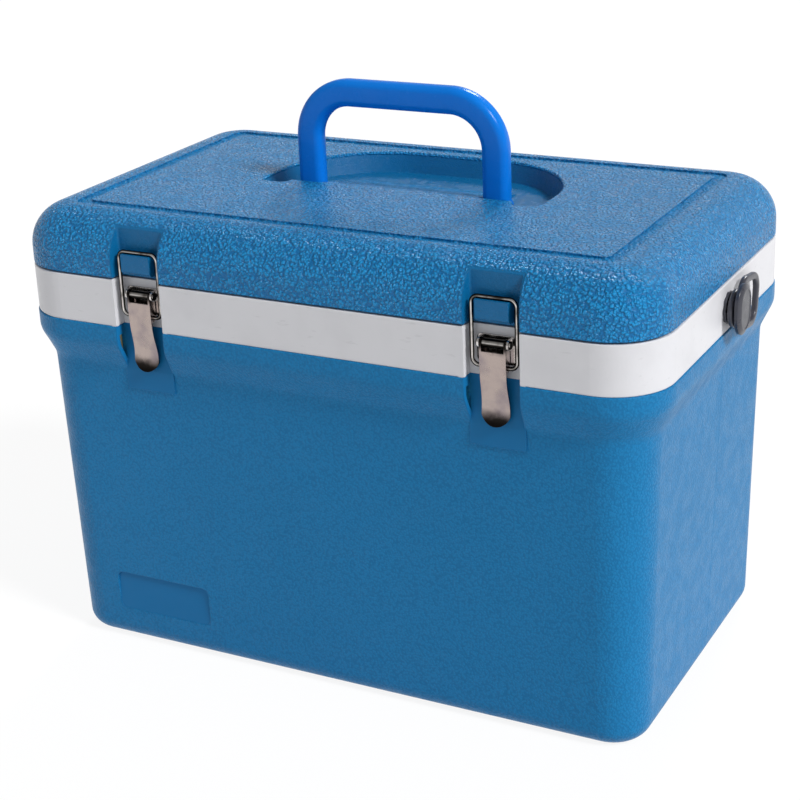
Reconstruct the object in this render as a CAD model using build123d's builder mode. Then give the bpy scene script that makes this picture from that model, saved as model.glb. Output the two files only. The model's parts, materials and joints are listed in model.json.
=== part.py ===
"""Vaccine carrier: an insulated box with a hinged lid, folding handle, two draw latches and two strap rings.

The long side runs along X, the latches face -Y, Z is up and the origin is the middle of the resting face.
The body is a root group. The lid, the handle, and each latch lever, latch bail and strap ring move on it.
Every size that another piece has to match is worked out from the named values below.
"""

import math
import os

from build123d import *

os.makedirs("parts", exist_ok=True)

# Overall envelope
LIP_WIDTH = 421.0  # rim band and lid, along X
LIP_DEPTH = 251.0  # rim band and lid, along Y
LIP_RADIUS = 36.0  # upright corners of the rim band and lid
BODY_HEIGHT = 226.0  # resting face to the rim band
BAND_HEIGHT = 30.0
LID_GAP = 1.0  # closed gap between the band and the lid
LID_HEIGHT = 36.0
LID_EDGE_RADIUS = 26.0  # the lid's big top rounding
RIM_ROUND = 0.8  # outside edges where the shell, the band and the lid meet
BODY_LIP_PROUD = 0.6  # the shell's lip stands this far outside the band, each side
BASE_INSET = 12.0  # the resting face is smaller than the band by this, each side
BASE_RADIUS = 27.0
BASE_EDGE_RADIUS = 12.0  # rounding under the walls
WALL_DRAFT = 1.3  # degrees, the walls lean out going up
LIP_UPRIGHT = 12.0  # upright lip above the shoulder
SHOULDER_FALL = 17.0  # height of the sloped shoulder under the lip
SHOULDER_ROUND = 14.0

# Walls and fits
SHELL_WALL = 3.0
LINER_WALL = 2.5
FOAM_CLEARANCE = 0.3  # poured foam against a skin
TONGUE_WALL = 2.2
TONGUE_HEIGHT = 6.0
TONGUE_CLEARANCE = 0.2
PIN_CLEARANCE = 0.06  # radial, every turning fit
SIDE_CLEARANCE = 0.3  # between cheeks, knuckles and washers that slide past each other

# Inside of the box
WALL_THICKNESS = 40.0  # band face to the cavity, measured at the inner floor
CAVITY_RADIUS = 20.0
CAVITY_DRAFT = 2.5
CAVITY_EDGE = 5.0
FLOOR_BOTTOM = 28.0  # underside of the inner floor
PLUG_CLEARANCE = 3.0  # lid plug to the cavity mouth
PLUG_DEPTH = 15.0
PLUG_RADIUS = 24.0
PLUG_EDGE = 5.0
PLATE_SINK = 1.0  # the lid's inner plate lies this far inside its rim
GASKET_THICKNESS = 1.7
GASKET_WIDTH = 7.0
GASKET_GAP = 1.5  # cavity mouth to the gasket

# Resting face
REST_RIM = 22.0
REST_CHANNEL = 8.0
REST_SINK = 1.5

# Handle
HANDLE_WIDTH = 145.0
HANDLE_REACH = 72.2  # pivot to the top of the grip
HANDLE_BAR = 16.2  # bar, across the hand
HANDLE_THICK = 12.0
HANDLE_CORNER = 38.0  # outside bend
HANDLE_ROUND = 3.6
HANDLE_Y = 2.0
HANDLE_CLEARANCE = 0.5  # folded handle to the recess floor, and under the lid's top
PEG_RADIUS = 3.5
PEG_REACH = 8.0  # how far a peg enters the platform
WASHER_GAP = 1.9  # leg to platform, filled by the washer
WASHER_STEP = 0.5  # the washer is smaller than the foot by this

# Lid top
GROOVE_INSET_X = 31.0  # lid edge to the channel round the panel
GROOVE_INSET_Y = 28.5
GROOVE_BAND = 7.5
GROOVE_SINK = 1.2
GROOVE_RADIUS = 7.0
RECESS_END_ROOM = 24.0  # finger room beyond each leg
RECESS_REAR_ROOM = 8.3  # beyond the folded grip
RECESS_REAR_RADIUS = 68.0
RECESS_DRAFT = 18.0
RECESS_EDGE = 1.5  # rounding round the recess's mouth
END_BAY_REACH = 7.4  # in front of the recess's front wall
END_BAY_GAP = 4.5  # leg's outside to the bay
END_BAY_RADIUS = 8.0
END_BAY_INNER_RADIUS = 5.2
FOOT_ROOM = 3.0  # behind the handle's feet
RAMP_RUN = 56.6  # the finger ramp falls from the lid's top to the recess floor over this length

# Latches
LATCH_X = 117.0
LEVER_WIDTH = 16.0
LEVER_DROP = 49.0  # pin to the lever's tip
LEVER_WINDOW = 4.5  # pin to the strip's top edge, between the cheeks
LEVER_HOLLOW = 3.2  # how far the strip bends inwards above its tip
LEVER_FLARE = 0.7  # the tip is wider than the strip by this, each side
LEVER_TIP_ROUND = 6.5
SLEEVE_RADIUS = 2.6
SHEET = 1.2  # stamped steel
BAIL_SPREAD = 5.6  # lever edge to the wire's centre
BAIL_WIRE_RADIUS = 1.25
BAIL_CORNER = 4.2
BAIL_DROP = 13.7  # pin to the wire that runs through the lever
POCKET_MARGIN = 3.65  # wire's centre to the pocket's side
POCKET_DEPTH = 9.0
POCKET_DROP = 42.0  # pocket's foot under the rim band
POCKET_SIDE_DRAFT = 1.0
POCKET_EDGE = 1.5
PAD_PROUD = 1.0  # the pad at the pocket's foot, in front of the drafted wall
PLATE_MARGIN = 4.0  # the base plate is wider than the lever by this, each side
PLATE_CORNER = 3.0
PLATE_FOOT = 8.0  # above the band's foot
PLATE_HEAD = 5.2  # under the band's top
PIN_DROP = 9.0  # pin under the band's top
PIN_STAND = 4.3  # pin in front of the pocket's floor
LATCH_PIN_RADIUS = 1.5
LATCH_BARREL_RADIUS = 3.1
RIVET_RIM = 0.9  # head beyond the pin
RIVET_HEAD = 0.8
CATCH_GAP = 2.15  # catch to the wire, each side
CATCH_RISE = 2.5  # above the lid's lower edge
CATCH_HEIGHT = 12.4
CATCH_SEAT_GAP = 0.25  # under the wire
CATCH_LIP_RISE = 0.5
CATCH_LIP_GAP = 0.5
CATCH_REACH = 7.5

# Hinges
HINGE_X = 105.0
HINGE_WIDTH = 44.0
HINGE_LEAF = 19.0
HINGE_SHEET = 1.5
HINGE_BARREL_RADIUS = 3.2
HINGE_PIN_RADIUS = 1.5
HINGE_SINK = 2.9  # seat under the rear face
HINGE_POCKET_MARGIN = 1.0
HINGE_OUTER_KNUCKLE = 12.0
HINGE_CORNER = 2.5
HINGE_SCREW_DROP = 12.5
HINGE_SCREW_STEP = 14.0

# Strap rings
STUD_RISE = 14.5  # above the band's foot
STUD_BASE_RADIUS = 10.0
STUD_BASE_THICK = 2.0
STUD_NECK_RADIUS = 6.0
STUD_NECK_LENGTH = 5.2
STUD_HEAD_THICK = 4.0
STUD_HEAD_WIDTH = 31.5
STUD_HEAD_HEIGHT = 25.0
STUD_HEAD_CORNER = 12.2
STUD_BEVEL = 1.3
RING_THICK = 3.6
RING_HUB_RADIUS = 12.0
RING_REACH = 40.0  # from the stud's middle to the far bar's outer edge
RING_WIDTH = 30.0
RING_BAR = 5.5
RING_LOOP_START = 14.5  # near edge of the loop's opening
RING_CORNER = 8.5
RING_ANGLE = -8.0  # degrees, hangs a little towards the rear

# Label panel on the front
LABEL_WIDTH = 70.0
LABEL_HEIGHT = 26.5
LABEL_X = -126.0
LABEL_Z = 36.5
LABEL_SINK = 0.8
LABEL_RADIUS = 5.0

# Ice packs
PACK_THICK = 33.0
PACK_HEIGHT = 94.0
PACK_GAP = 1.0
PACK_WALL_GAP = 3.0
PACK_END_GAP = 7.0
PACK_RADIUS = 7.0
PACK_EDGE = 4.0
PACK_PANEL_MARGIN = 16.0
PACK_PANEL_SINK = 2.5
PACK_PANEL_DRAFT = 30.0
CAP_RADIUS = 11.0
CAP_HEIGHT = 9.0
CAP_SIDES = 12
CAP_BEVEL = 1.2

# Screws
SCREW_HEAD_RADIUS = 2.7
SCREW_HEAD_HEIGHT = 1.0
HEAD_TAPER = 45.0
SCREW_RADIUS = 1.4
LATCH_SCREW_STEP = 4.0  # from the plate's middle
LATCH_SCREW_RISE = 3.6  # above the plate's foot

MATCH = 0.01  # places nearer than this count as the same

# Worked-out heights
BAND_BOTTOM = BODY_HEIGHT
SHOULDER_TOP = BODY_HEIGHT - LIP_UPRIGHT
SHOULDER_BOTTOM = SHOULDER_TOP - SHOULDER_FALL
BAND_TOP = BAND_BOTTOM + BAND_HEIGHT
LID_BOTTOM = BAND_TOP + LID_GAP
LID_TOP = LID_BOTTOM + LID_HEIGHT
FLOOR_TOP = FLOOR_BOTTOM + LINER_WALL
POCKET_BOTTOM = BAND_BOTTOM - POCKET_DROP
LATCH_PLATE_BOTTOM = BAND_BOTTOM + PLATE_FOOT
LATCH_PLATE_TOP = BAND_TOP - PLATE_HEAD
LATCH_PIVOT_Z = BAND_TOP - PIN_DROP
LEVER_TIP_Z = LATCH_PIVOT_Z - LEVER_DROP
BAIL_BOTTOM_Z = LATCH_PIVOT_Z - BAIL_DROP
CATCH_BOTTOM = LID_BOTTOM + CATCH_RISE
BAIL_TOP_Z = CATCH_BOTTOM + CATCH_HEIGHT + CATCH_SEAT_GAP + BAIL_WIRE_RADIUS
STUD_Z = BAND_BOTTOM + STUD_RISE
HINGE_AXIS_Z = BAND_TOP + LID_GAP / 2

# Worked-out widths and depths
SLOPE = math.tan(math.radians(WALL_DRAFT))
BASE_WIDTH = LIP_WIDTH - 2 * BASE_INSET
BASE_DEPTH = LIP_DEPTH - 2 * BASE_INSET
CAVITY_WIDTH = LIP_WIDTH - 2 * WALL_THICKNESS
CAVITY_DEPTH = LIP_DEPTH - 2 * WALL_THICKNESS
GROOVE_WIDTH = LIP_WIDTH - 2 * GROOVE_INSET_X
GROOVE_LENGTH = LIP_DEPTH - 2 * GROOVE_INSET_Y
LABEL_FACE_Y = -(BASE_DEPTH / 2 + SLOPE * LABEL_Z) + LABEL_SINK
TONGUE_OUTER = SHELL_WALL + TONGUE_CLEARANCE
TONGUE_INNER = TONGUE_OUTER + TONGUE_WALL
BAIL_WIDTH = LEVER_WIDTH + 2 * BAIL_SPREAD
CATCH_WIDTH = BAIL_WIDTH - 2 * (BAIL_WIRE_RADIUS + CATCH_GAP)
POCKET_WIDTH = BAIL_WIDTH + 2 * POCKET_MARGIN
LATCH_PLATE_WIDTH = LEVER_WIDTH + 2 * PLATE_MARGIN
POCKET_FLOOR_Y = LIP_DEPTH / 2 - POCKET_DEPTH
LATCH_PIVOT_Y = -(POCKET_FLOOR_Y + PIN_STAND)
CATCH_FRONT_Y = -(POCKET_FLOOR_Y + CATCH_REACH)
HINGE_POCKET_Y = LIP_DEPTH / 2 - HINGE_SINK
HINGE_AXIS_Y = HINGE_POCKET_Y + HINGE_BARREL_RADIUS + SIDE_CLEARANCE
PACK_WIDTH = (CAVITY_WIDTH - PACK_GAP) / 2 - PACK_END_GAP

# Worked-out handle recess
HANDLE_FOLD_DROP = HANDLE_THICK / 2 + HANDLE_CLEARANCE  # pivot below the lid's top
PIVOT_Z = LID_TOP - HANDLE_FOLD_DROP
RECESS_SINK = HANDLE_THICK + 2 * HANDLE_CLEARANCE
RECESS_FLOOR = LID_TOP - RECESS_SINK
RECESS_FRONT = HANDLE_Y - HANDLE_THICK / 2 - HANDLE_CLEARANCE
RECESS_HALF_WIDTH = HANDLE_WIDTH / 2 + RECESS_END_ROOM
RECESS_REAR = HANDLE_Y + HANDLE_REACH + RECESS_REAR_ROOM
END_BAY_FRONT = RECESS_FRONT - END_BAY_REACH
END_BAY_INNER = HANDLE_WIDTH / 2 + END_BAY_GAP
PLATFORM_HALF_WIDTH = HANDLE_WIDTH / 2 - HANDLE_BAR - WASHER_GAP


def contour_face(points, rounds, reach):
    """Half a wall profile as a face, from the middle line out; each corner has its own rounding."""
    shifted = [(across + reach, height) for across, height in points]
    with BuildSketch() as made:
        with BuildLine():
            Polyline((0, points[0][1]), *shifted, (0, points[-1][1]), close=True)
        make_face()
        for place, rounding in zip(shifted, rounds):
            if rounding > 0:
                fillet(made.vertices().sort_by_distance((place[0], place[1], 0))[0], rounding)
    return made.sketch


def box_form(points, rounds, axis_x=LIP_WIDTH / 2 - LIP_RADIUS, axis_y=LIP_DEPTH / 2 - LIP_RADIUS):
    """A solid whose wall profile runs along the four sides and turns round each upright corner."""
    pillar = contour_face(points, rounds, 0)
    along_x = contour_face(points, rounds, axis_y)
    with BuildPart() as made:
        with BuildSketch(Plane.YZ):
            add(along_x)
            mirror(about=Plane.YZ)
        extrude(amount=axis_x, both=True)
        for side_x in (-1, 1):
            middle = Plane(origin=(side_x * axis_x, 0, 0), x_dir=(side_x, 0, 0), z_dir=(0, -side_x, 0))
            with BuildSketch(middle):
                add(pillar)
            extrude(amount=axis_y, both=True)
            for side_y in (-1, 1):
                place = (side_x * axis_x, side_y * axis_y, 0)
                with BuildSketch(Plane(origin=place, x_dir=(side_x, 0, 0), z_dir=(0, -side_x, 0))):
                    add(pillar)
                revolve(axis=Axis(place, (0, 0, side_x * side_y)), revolution_arc=90)
    return made.part


def lip_block(inset, bottom, height, rounding=0.0):
    """An upright block that follows the rim band's outline, inset by a wall."""
    edge = LIP_RADIUS - inset
    return box_form([(edge, bottom), (edge, bottom + height)], [rounding, rounding])


def body_form(inset, floor, top, lip_round=0.0):
    """The drafted wall, the sloped shoulder and the upright lip as one form, inset by a wall."""
    base = LIP_RADIUS - (LIP_WIDTH - BASE_WIDTH) / 2 - inset
    waist = base + SLOPE * SHOULDER_BOTTOM
    lip = LIP_RADIUS + BODY_LIP_PROUD - inset
    points = [(base + SLOPE * floor, floor), (waist, SHOULDER_BOTTOM), (lip, SHOULDER_TOP), (lip, top)]
    return box_form(points, [BASE_EDGE_RADIUS - inset, SHOULDER_ROUND, SHOULDER_ROUND, lip_round])


def lid_form(inset, bottom, top, rounding, rim_round=0.0):
    """The lid's outside, or its inside when inset by a wall."""
    edge = LIP_RADIUS - inset
    return box_form([(edge, bottom), (edge, top)], [rim_round, rounding])


def cavity_form(outset, bottom, top, rounding):
    """The drafted inside of the box, grown by a wall."""
    slope = math.tan(math.radians(CAVITY_DRAFT))
    low = CAVITY_RADIUS + outset + slope * (bottom - FLOOR_TOP)
    high = CAVITY_RADIUS + outset + slope * (top - FLOOR_TOP)
    axis_x = CAVITY_WIDTH / 2 - CAVITY_RADIUS
    axis_y = CAVITY_DEPTH / 2 - CAVITY_RADIUS
    return box_form([(low, bottom), (high, top)], [rounding, 0], axis_x, axis_y)


def latch_pockets(margin, bottom, top, edge=0.0):
    """Both latch pockets as cutting blocks; a margin grows them to leave a skin behind the pocket."""
    floor_y = -(POCKET_FLOOR_Y - margin)
    face_y = -(LIP_DEPTH / 2 + BODY_LIP_PROUD + SHELL_WALL)
    half = POCKET_WIDTH / 2 + margin
    draft = POCKET_SIDE_DRAFT if margin == 0 else 0.0
    low = bottom - margin
    with BuildPart() as made:
        for side in (-1, 1):
            with BuildSketch(Plane.XY.offset(low)):
                with BuildLine():
                    Polyline(
                        (side * LATCH_X - half, face_y),
                        (side * LATCH_X + half, face_y),
                        (side * LATCH_X + half - draft, floor_y),
                        (side * LATCH_X - half + draft, floor_y),
                        close=True,
                    )
                make_face()
            extrude(amount=top - low)
        if edge > 0:
            fillet(made.edges().filter_by(Axis.Z).group_by(Axis.Y)[-1], edge)
    return made.part


def hinge_pockets(margin, bottom, top):
    """Both hinge seats on the rear face as cutting blocks."""
    floor_y = HINGE_POCKET_Y - margin
    width = HINGE_WIDTH + 2 * HINGE_POCKET_MARGIN + 2 * margin
    reach = LIP_DEPTH / 2 + BODY_LIP_PROUD + SHELL_WALL - floor_y
    with BuildPart() as made:
        with BuildSketch(Plane.XY.offset(bottom)):
            with Locations((-HINGE_X, floor_y + reach / 2), (HINGE_X, floor_y + reach / 2)):
                Rectangle(width, reach)
        extrude(amount=top - bottom)
    return made.part


def screw_holes(points, plane, depth, radius):
    """Round holes, or shanks, at points of a plane."""
    with BuildPart() as made:
        with BuildSketch(plane):
            with Locations(*points):
                Circle(radius)
        extrude(amount=depth)
    return made.part


def screw_heads(points, plane):
    """Countersunk cones that end flush with a plane."""
    with BuildPart() as made:
        for point in points:
            with BuildSketch(plane):
                with Locations(point):
                    Circle(SCREW_HEAD_RADIUS)
            extrude(amount=-SCREW_HEAD_HEIGHT, taper=HEAD_TAPER)
    return made.part


def recess_outline(grow=0.0):
    """The handle recess seen from above: a half stadium with a small bay in front of each end."""
    corners = [
        (END_BAY_INNER, RECESS_FRONT, END_BAY_RADIUS / 4),
        (END_BAY_INNER, END_BAY_FRONT, END_BAY_INNER_RADIUS),
        (RECESS_HALF_WIDTH, END_BAY_FRONT, END_BAY_RADIUS),
        (RECESS_HALF_WIDTH, RECESS_REAR, RECESS_REAR_RADIUS),
    ]
    right = [(x, y) for x, y, _ in corners]
    left = [(-x, y) for x, y in reversed(right)]
    with BuildSketch() as made:
        with BuildLine():
            Polyline(*right, *left, close=True)
        make_face()
        for x, y, radius in corners:
            for side in (-1, 1):
                fillet(made.vertices().sort_by_distance((side * x, y, 0))[0], radius)
        if grow > 0:
            offset(amount=grow)
    return made.sketch


# Screw places, as (x, z) on the front and rear faces
LATCH_SCREW_Z = LATCH_PLATE_BOTTOM + LATCH_SCREW_RISE
LATCH_SCREW_XS = [side * LATCH_X + step * LATCH_SCREW_STEP for side in (-1, 1) for step in (-1, 1)]
LATCH_SCREWS = [(x, LATCH_SCREW_Z) for x in LATCH_SCREW_XS]
HINGE_SCREW_XS = [side * HINGE_X + step * HINGE_SCREW_STEP for side in (-1, 1) for step in (-1, 0, 1)]
HINGE_LOWER_SCREWS = [(x, HINGE_AXIS_Z - HINGE_SCREW_DROP) for x in HINGE_SCREW_XS]
HINGE_UPPER_SCREWS = [(x, HINGE_AXIS_Z + HINGE_SCREW_DROP) for x in HINGE_SCREW_XS]
FRONT_FLOOR = Plane(origin=(0, -POCKET_FLOOR_Y, 0), x_dir=(1, 0, 0), z_dir=(0, -1, 0))  # x right, y up
REAR_FLOOR = Plane(origin=(0, HINGE_POCKET_Y, 0), x_dir=(-1, 0, 0), z_dir=(0, 1, 0))


def rear_points(points):
    """The same places in the rear plane's own x, which runs the other way."""
    return [(-x, z) for x, z in points]


# ---------------------------------------------------------------- outer shell
pocket_cut = latch_pockets(0.0, POCKET_BOTTOM, LID_TOP, edge=POCKET_EDGE)
seat_bottom = BAND_BOTTOM - TONGUE_HEIGHT
shell_out = body_form(0.0, 0.0, BAND_BOTTOM, RIM_ROUND)
shell_in = body_form(SHELL_WALL, SHELL_WALL, seat_bottom)
wall_clear = SHELL_WALL + TONGUE_CLEARANCE
pad_face = -(BASE_DEPTH / 2 + SLOPE * POCKET_BOTTOM) - PAD_PROUD
skin_middle = -POCKET_FLOOR_Y + SHELL_WALL / 2

with BuildPart() as outer_shell:
    add(shell_out)
    add(shell_in, mode=Mode.SUBTRACT)
    # the thick seat over the hollow carries the rim band, and the tongue that the band's skirt fits over
    add(lip_block(TONGUE_OUTER, seat_bottom + TONGUE_HEIGHT / 2, TONGUE_HEIGHT * 3 / 2))
    add(lip_block(TONGUE_INNER, seat_bottom - TONGUE_HEIGHT / 2, TONGUE_HEIGHT * 3), mode=Mode.SUBTRACT)
    add(latch_pockets(wall_clear, BAND_BOTTOM + wall_clear, LID_TOP), mode=Mode.SUBTRACT)
    # skin behind the latch pockets, the pockets, then the pad proud of the wall at each pocket's foot
    with BuildSketch(Plane.XY.offset(POCKET_BOTTOM - SHELL_WALL)):
        with Locations((-LATCH_X, skin_middle), (LATCH_X, skin_middle)):
            Rectangle(POCKET_WIDTH + 2 * SHELL_WALL, SHELL_WALL)
    extrude(amount=BAND_BOTTOM - POCKET_BOTTOM + SHELL_WALL)
    add(pocket_cut, mode=Mode.SUBTRACT)
    for side in (-1, 1):
        with BuildSketch(Plane.YZ.offset(side * LATCH_X)):
            with BuildLine():
                Polyline(
                    (skin_middle, POCKET_BOTTOM),
                    (pad_face, POCKET_BOTTOM),
                    (pad_face, SHOULDER_BOTTOM),
                    (-POCKET_FLOOR_Y, SHOULDER_TOP),
                    (skin_middle, SHOULDER_TOP),
                    close=True,
                )
            make_face()
        extrude(amount=POCKET_WIDTH / 2, both=True)
    # label panel on the front and the stiffening channel round the resting face
    with BuildSketch(Plane(origin=(LABEL_X, LABEL_FACE_Y, LABEL_Z), x_dir=(1, 0, 0), z_dir=(0, -1, SLOPE))):
        RectangleRounded(LABEL_WIDTH, LABEL_HEIGHT, LABEL_RADIUS)
    extrude(amount=SHELL_WALL, mode=Mode.SUBTRACT)
    with BuildSketch(Plane.XY):
        RectangleRounded(BASE_WIDTH - 2 * REST_RIM, BASE_DEPTH - 2 * REST_RIM, BASE_RADIUS)
        RectangleRounded(
            BASE_WIDTH - 2 * (REST_RIM + REST_CHANNEL),
            BASE_DEPTH - 2 * (REST_RIM + REST_CHANNEL),
            BASE_RADIUS - REST_CHANNEL,
            mode=Mode.SUBTRACT,
        )
    extrude(amount=REST_SINK, mode=Mode.SUBTRACT)
outer_shell.part.label = "outer_shell"
export_step(outer_shell.part, "parts/outer_shell.step")

# ---------------------------------------------------------------- inner liner with the rim band
RIM_BOTTOM = BAND_TOP - LINER_WALL
tub_out = cavity_form(LINER_WALL, FLOOR_BOTTOM, BAND_TOP, CAVITY_EDGE + LINER_WALL)
tub_in = cavity_form(0.0, FLOOR_TOP, BAND_TOP, CAVITY_EDGE)
with BuildPart() as inner_liner:
    add(lip_block(0.0, BAND_BOTTOM, BAND_HEIGHT, RIM_ROUND))
    add(lip_block(SHELL_WALL, BAND_BOTTOM, BAND_HEIGHT - LINER_WALL), mode=Mode.SUBTRACT)
    with BuildSketch(Plane.XY.offset(BAND_BOTTOM)):
        with Locations((-LATCH_X, skin_middle), (LATCH_X, skin_middle)):
            Rectangle(POCKET_WIDTH + 2 * SHELL_WALL, SHELL_WALL)
        for side in (-1, 1):
            with Locations(
                (side * LATCH_X - (POCKET_WIDTH + SHELL_WALL) / 2, -(POCKET_FLOOR_Y + LIP_DEPTH / 2) / 2),
                (side * LATCH_X + (POCKET_WIDTH + SHELL_WALL) / 2, -(POCKET_FLOOR_Y + LIP_DEPTH / 2) / 2),
            ):
                Rectangle(SHELL_WALL, LIP_DEPTH / 2 - POCKET_FLOOR_Y)
    extrude(amount=BAND_HEIGHT)
    with BuildSketch(Plane.XY.offset(HINGE_AXIS_Z - HINGE_LEAF - HINGE_POCKET_MARGIN)):
        seat_middle = HINGE_POCKET_Y - SHELL_WALL / 2
        with Locations((-HINGE_X, seat_middle), (HINGE_X, seat_middle)):
            Rectangle(HINGE_WIDTH + 2 * HINGE_POCKET_MARGIN + 2 * SHELL_WALL, SHELL_WALL)
    extrude(amount=BAND_TOP - HINGE_AXIS_Z + HINGE_LEAF + HINGE_POCKET_MARGIN)
    add(tub_out)
    add(tub_in, mode=Mode.SUBTRACT)
    add(pocket_cut, mode=Mode.SUBTRACT)
    add(hinge_pockets(0.0, HINGE_AXIS_Z - HINGE_LEAF - HINGE_POCKET_MARGIN, LID_TOP), mode=Mode.SUBTRACT)
    add(screw_holes(LATCH_SCREWS, FRONT_FLOOR, -SHELL_WALL, SCREW_RADIUS), mode=Mode.SUBTRACT)
    hinge_holes = screw_holes(rear_points(HINGE_LOWER_SCREWS), REAR_FLOOR, -SHELL_WALL, SCREW_RADIUS)
    add(hinge_holes, mode=Mode.SUBTRACT)
inner_liner.part.label = "inner_liner"
export_step(inner_liner.part, "parts/inner_liner.step")

# ---------------------------------------------------------------- body insulation
foam_skin = SHELL_WALL + FOAM_CLEARANCE
with BuildPart() as body_insulation:
    add(body_form(foam_skin, foam_skin, seat_bottom - FOAM_CLEARANCE))
    add(lip_block(TONGUE_INNER + FOAM_CLEARANCE, SHOULDER_TOP, RIM_BOTTOM - FOAM_CLEARANCE - SHOULDER_TOP))
    tub_skin = LINER_WALL + FOAM_CLEARANCE
    tub_clear = cavity_form(tub_skin, FLOOR_BOTTOM - FOAM_CLEARANCE, BAND_TOP, CAVITY_EDGE + LINER_WALL)
    add(tub_clear, mode=Mode.SUBTRACT)
    add(latch_pockets(foam_skin, POCKET_BOTTOM, LID_TOP), mode=Mode.SUBTRACT)
    add(hinge_pockets(foam_skin, HINGE_AXIS_Z - HINGE_LEAF - foam_skin, LID_TOP), mode=Mode.SUBTRACT)
body_insulation.part.label = "body_insulation"
export_step(body_insulation.part, "parts/body_insulation.step")

# ---------------------------------------------------------------- lid shell
outline = recess_outline()
outline_grown = recess_outline(SHELL_WALL)
ramp_end = RECESS_FRONT + RAMP_RUN
platform_root = RECESS_FRONT - SHELL_WALL / 2
leg_bay_middle = (PLATFORM_HALF_WIDTH + END_BAY_INNER) / 2
leg_bay_end = HANDLE_Y + HANDLE_THICK / 2 + FOOT_ROOM
with BuildPart() as lid_skin:
    add(lid_form(SHELL_WALL, LID_BOTTOM, LID_TOP - SHELL_WALL, LID_EDGE_RADIUS - SHELL_WALL))
    add(latch_pockets(SHELL_WALL, POCKET_BOTTOM, LID_TOP), mode=Mode.SUBTRACT)
    add(hinge_pockets(SHELL_WALL, LID_BOTTOM, LID_TOP), mode=Mode.SUBTRACT)
    with BuildSketch(Plane.XY.offset(RECESS_FLOOR - SHELL_WALL)):
        add(outline_grown)
    extrude(amount=RECESS_SINK, mode=Mode.SUBTRACT)
lid_hollow = lid_skin.part

seat_z = BAIL_TOP_Z - BAIL_WIRE_RADIUS - CATCH_SEAT_GAP
lip_z = seat_z + CATCH_LIP_RISE
lip_back = LATCH_PIVOT_Y - BAIL_WIRE_RADIUS - CATCH_LIP_GAP
with BuildSketch() as catch_face:
    with BuildLine():
        Polyline(
            (skin_middle, CATCH_BOTTOM),
            (CATCH_FRONT_Y + CATCH_GAP, CATCH_BOTTOM),
            (CATCH_FRONT_Y, CATCH_BOTTOM + CATCH_GAP),
            (CATCH_FRONT_Y, lip_z),
            (lip_back, lip_z),
            (lip_back + CATCH_LIP_RISE, seat_z),
            (skin_middle, seat_z),
            close=True,
        )
    make_face()

with BuildPart() as lid_shell:
    add(lid_form(0.0, LID_BOTTOM, LID_TOP, LID_EDGE_RADIUS, RIM_ROUND))
    add(lid_hollow, mode=Mode.SUBTRACT)
    # channel round the top panel
    with BuildSketch(Plane.XY.offset(LID_TOP)):
        RectangleRounded(GROOVE_WIDTH, GROOVE_LENGTH, GROOVE_RADIUS)
        RectangleRounded(
            GROOVE_WIDTH - 2 * GROOVE_BAND,
            GROOVE_LENGTH - 2 * GROOVE_BAND,
            GROOVE_RADIUS / 2,
            mode=Mode.SUBTRACT,
        )
    extrude(amount=-GROOVE_SINK, mode=Mode.SUBTRACT)
    # handle recess with drafted walls, then the ramp that climbs from it between the legs
    with BuildSketch(Plane.XY.offset(LID_TOP)):
        add(outline)
    extrude(amount=-RECESS_SINK, taper=RECESS_DRAFT, mode=Mode.SUBTRACT)
    top_edges = lid_shell.edges().filter_by_position(Axis.Z, LID_TOP - MATCH, LID_TOP + MATCH)
    mouth = top_edges.filter_by_position(Axis.X, -RECESS_HALF_WIDTH - MATCH, RECESS_HALF_WIDTH + MATCH)
    fillet(mouth.filter_by_position(Axis.Y, END_BAY_FRONT - MATCH, RECESS_REAR + MATCH), RECESS_EDGE)
    with BuildSketch(Plane.YZ):
        with BuildLine():
            Polyline(
                (platform_root, RECESS_FLOOR - SHELL_WALL / 2),
                (platform_root, LID_TOP),
                (RECESS_FRONT, LID_TOP),
                (ramp_end, RECESS_FLOOR),
                (ramp_end, RECESS_FLOOR - SHELL_WALL / 2),
                close=True,
            )
        make_face()
    extrude(amount=PLATFORM_HALF_WIDTH, both=True)
    # upright-walled bays for the handle's feet
    with BuildSketch(Plane.XY.offset(RECESS_FLOOR)):
        bay_y = (RECESS_FRONT + leg_bay_end) / 2
        with Locations((-leg_bay_middle, bay_y), (leg_bay_middle, bay_y)):
            Rectangle(END_BAY_INNER - PLATFORM_HALF_WIDTH, leg_bay_end - RECESS_FRONT)
    extrude(amount=RECESS_SINK, mode=Mode.SUBTRACT)
    # blind holes for the handle's pegs
    for side in (-1, 1):
        with BuildSketch(Plane.YZ.offset(side * PLATFORM_HALF_WIDTH)):
            with Locations((HANDLE_Y, PIVOT_Z)):
                Circle(PEG_RADIUS + PIN_CLEARANCE)
        extrude(amount=-side * (PEG_REACH + SIDE_CLEARANCE), mode=Mode.SUBTRACT)
    # latch pockets and the catches moulded in them
    add(pocket_cut, mode=Mode.SUBTRACT)
    for side in (-1, 1):
        with BuildSketch(Plane.YZ.offset(side * LATCH_X)):
            add(catch_face.sketch)
        extrude(amount=CATCH_WIDTH / 2, both=True)
    add(hinge_pockets(0.0, LID_BOTTOM, HINGE_AXIS_Z + HINGE_LEAF + HINGE_POCKET_MARGIN), mode=Mode.SUBTRACT)
    hinge_holes = screw_holes(rear_points(HINGE_UPPER_SCREWS), REAR_FLOOR, -SHELL_WALL, SCREW_RADIUS)
    add(hinge_holes, mode=Mode.SUBTRACT)
lid_shell.part.label = "lid_shell"
export_step(lid_shell.part, "parts/lid_shell.step")

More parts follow.
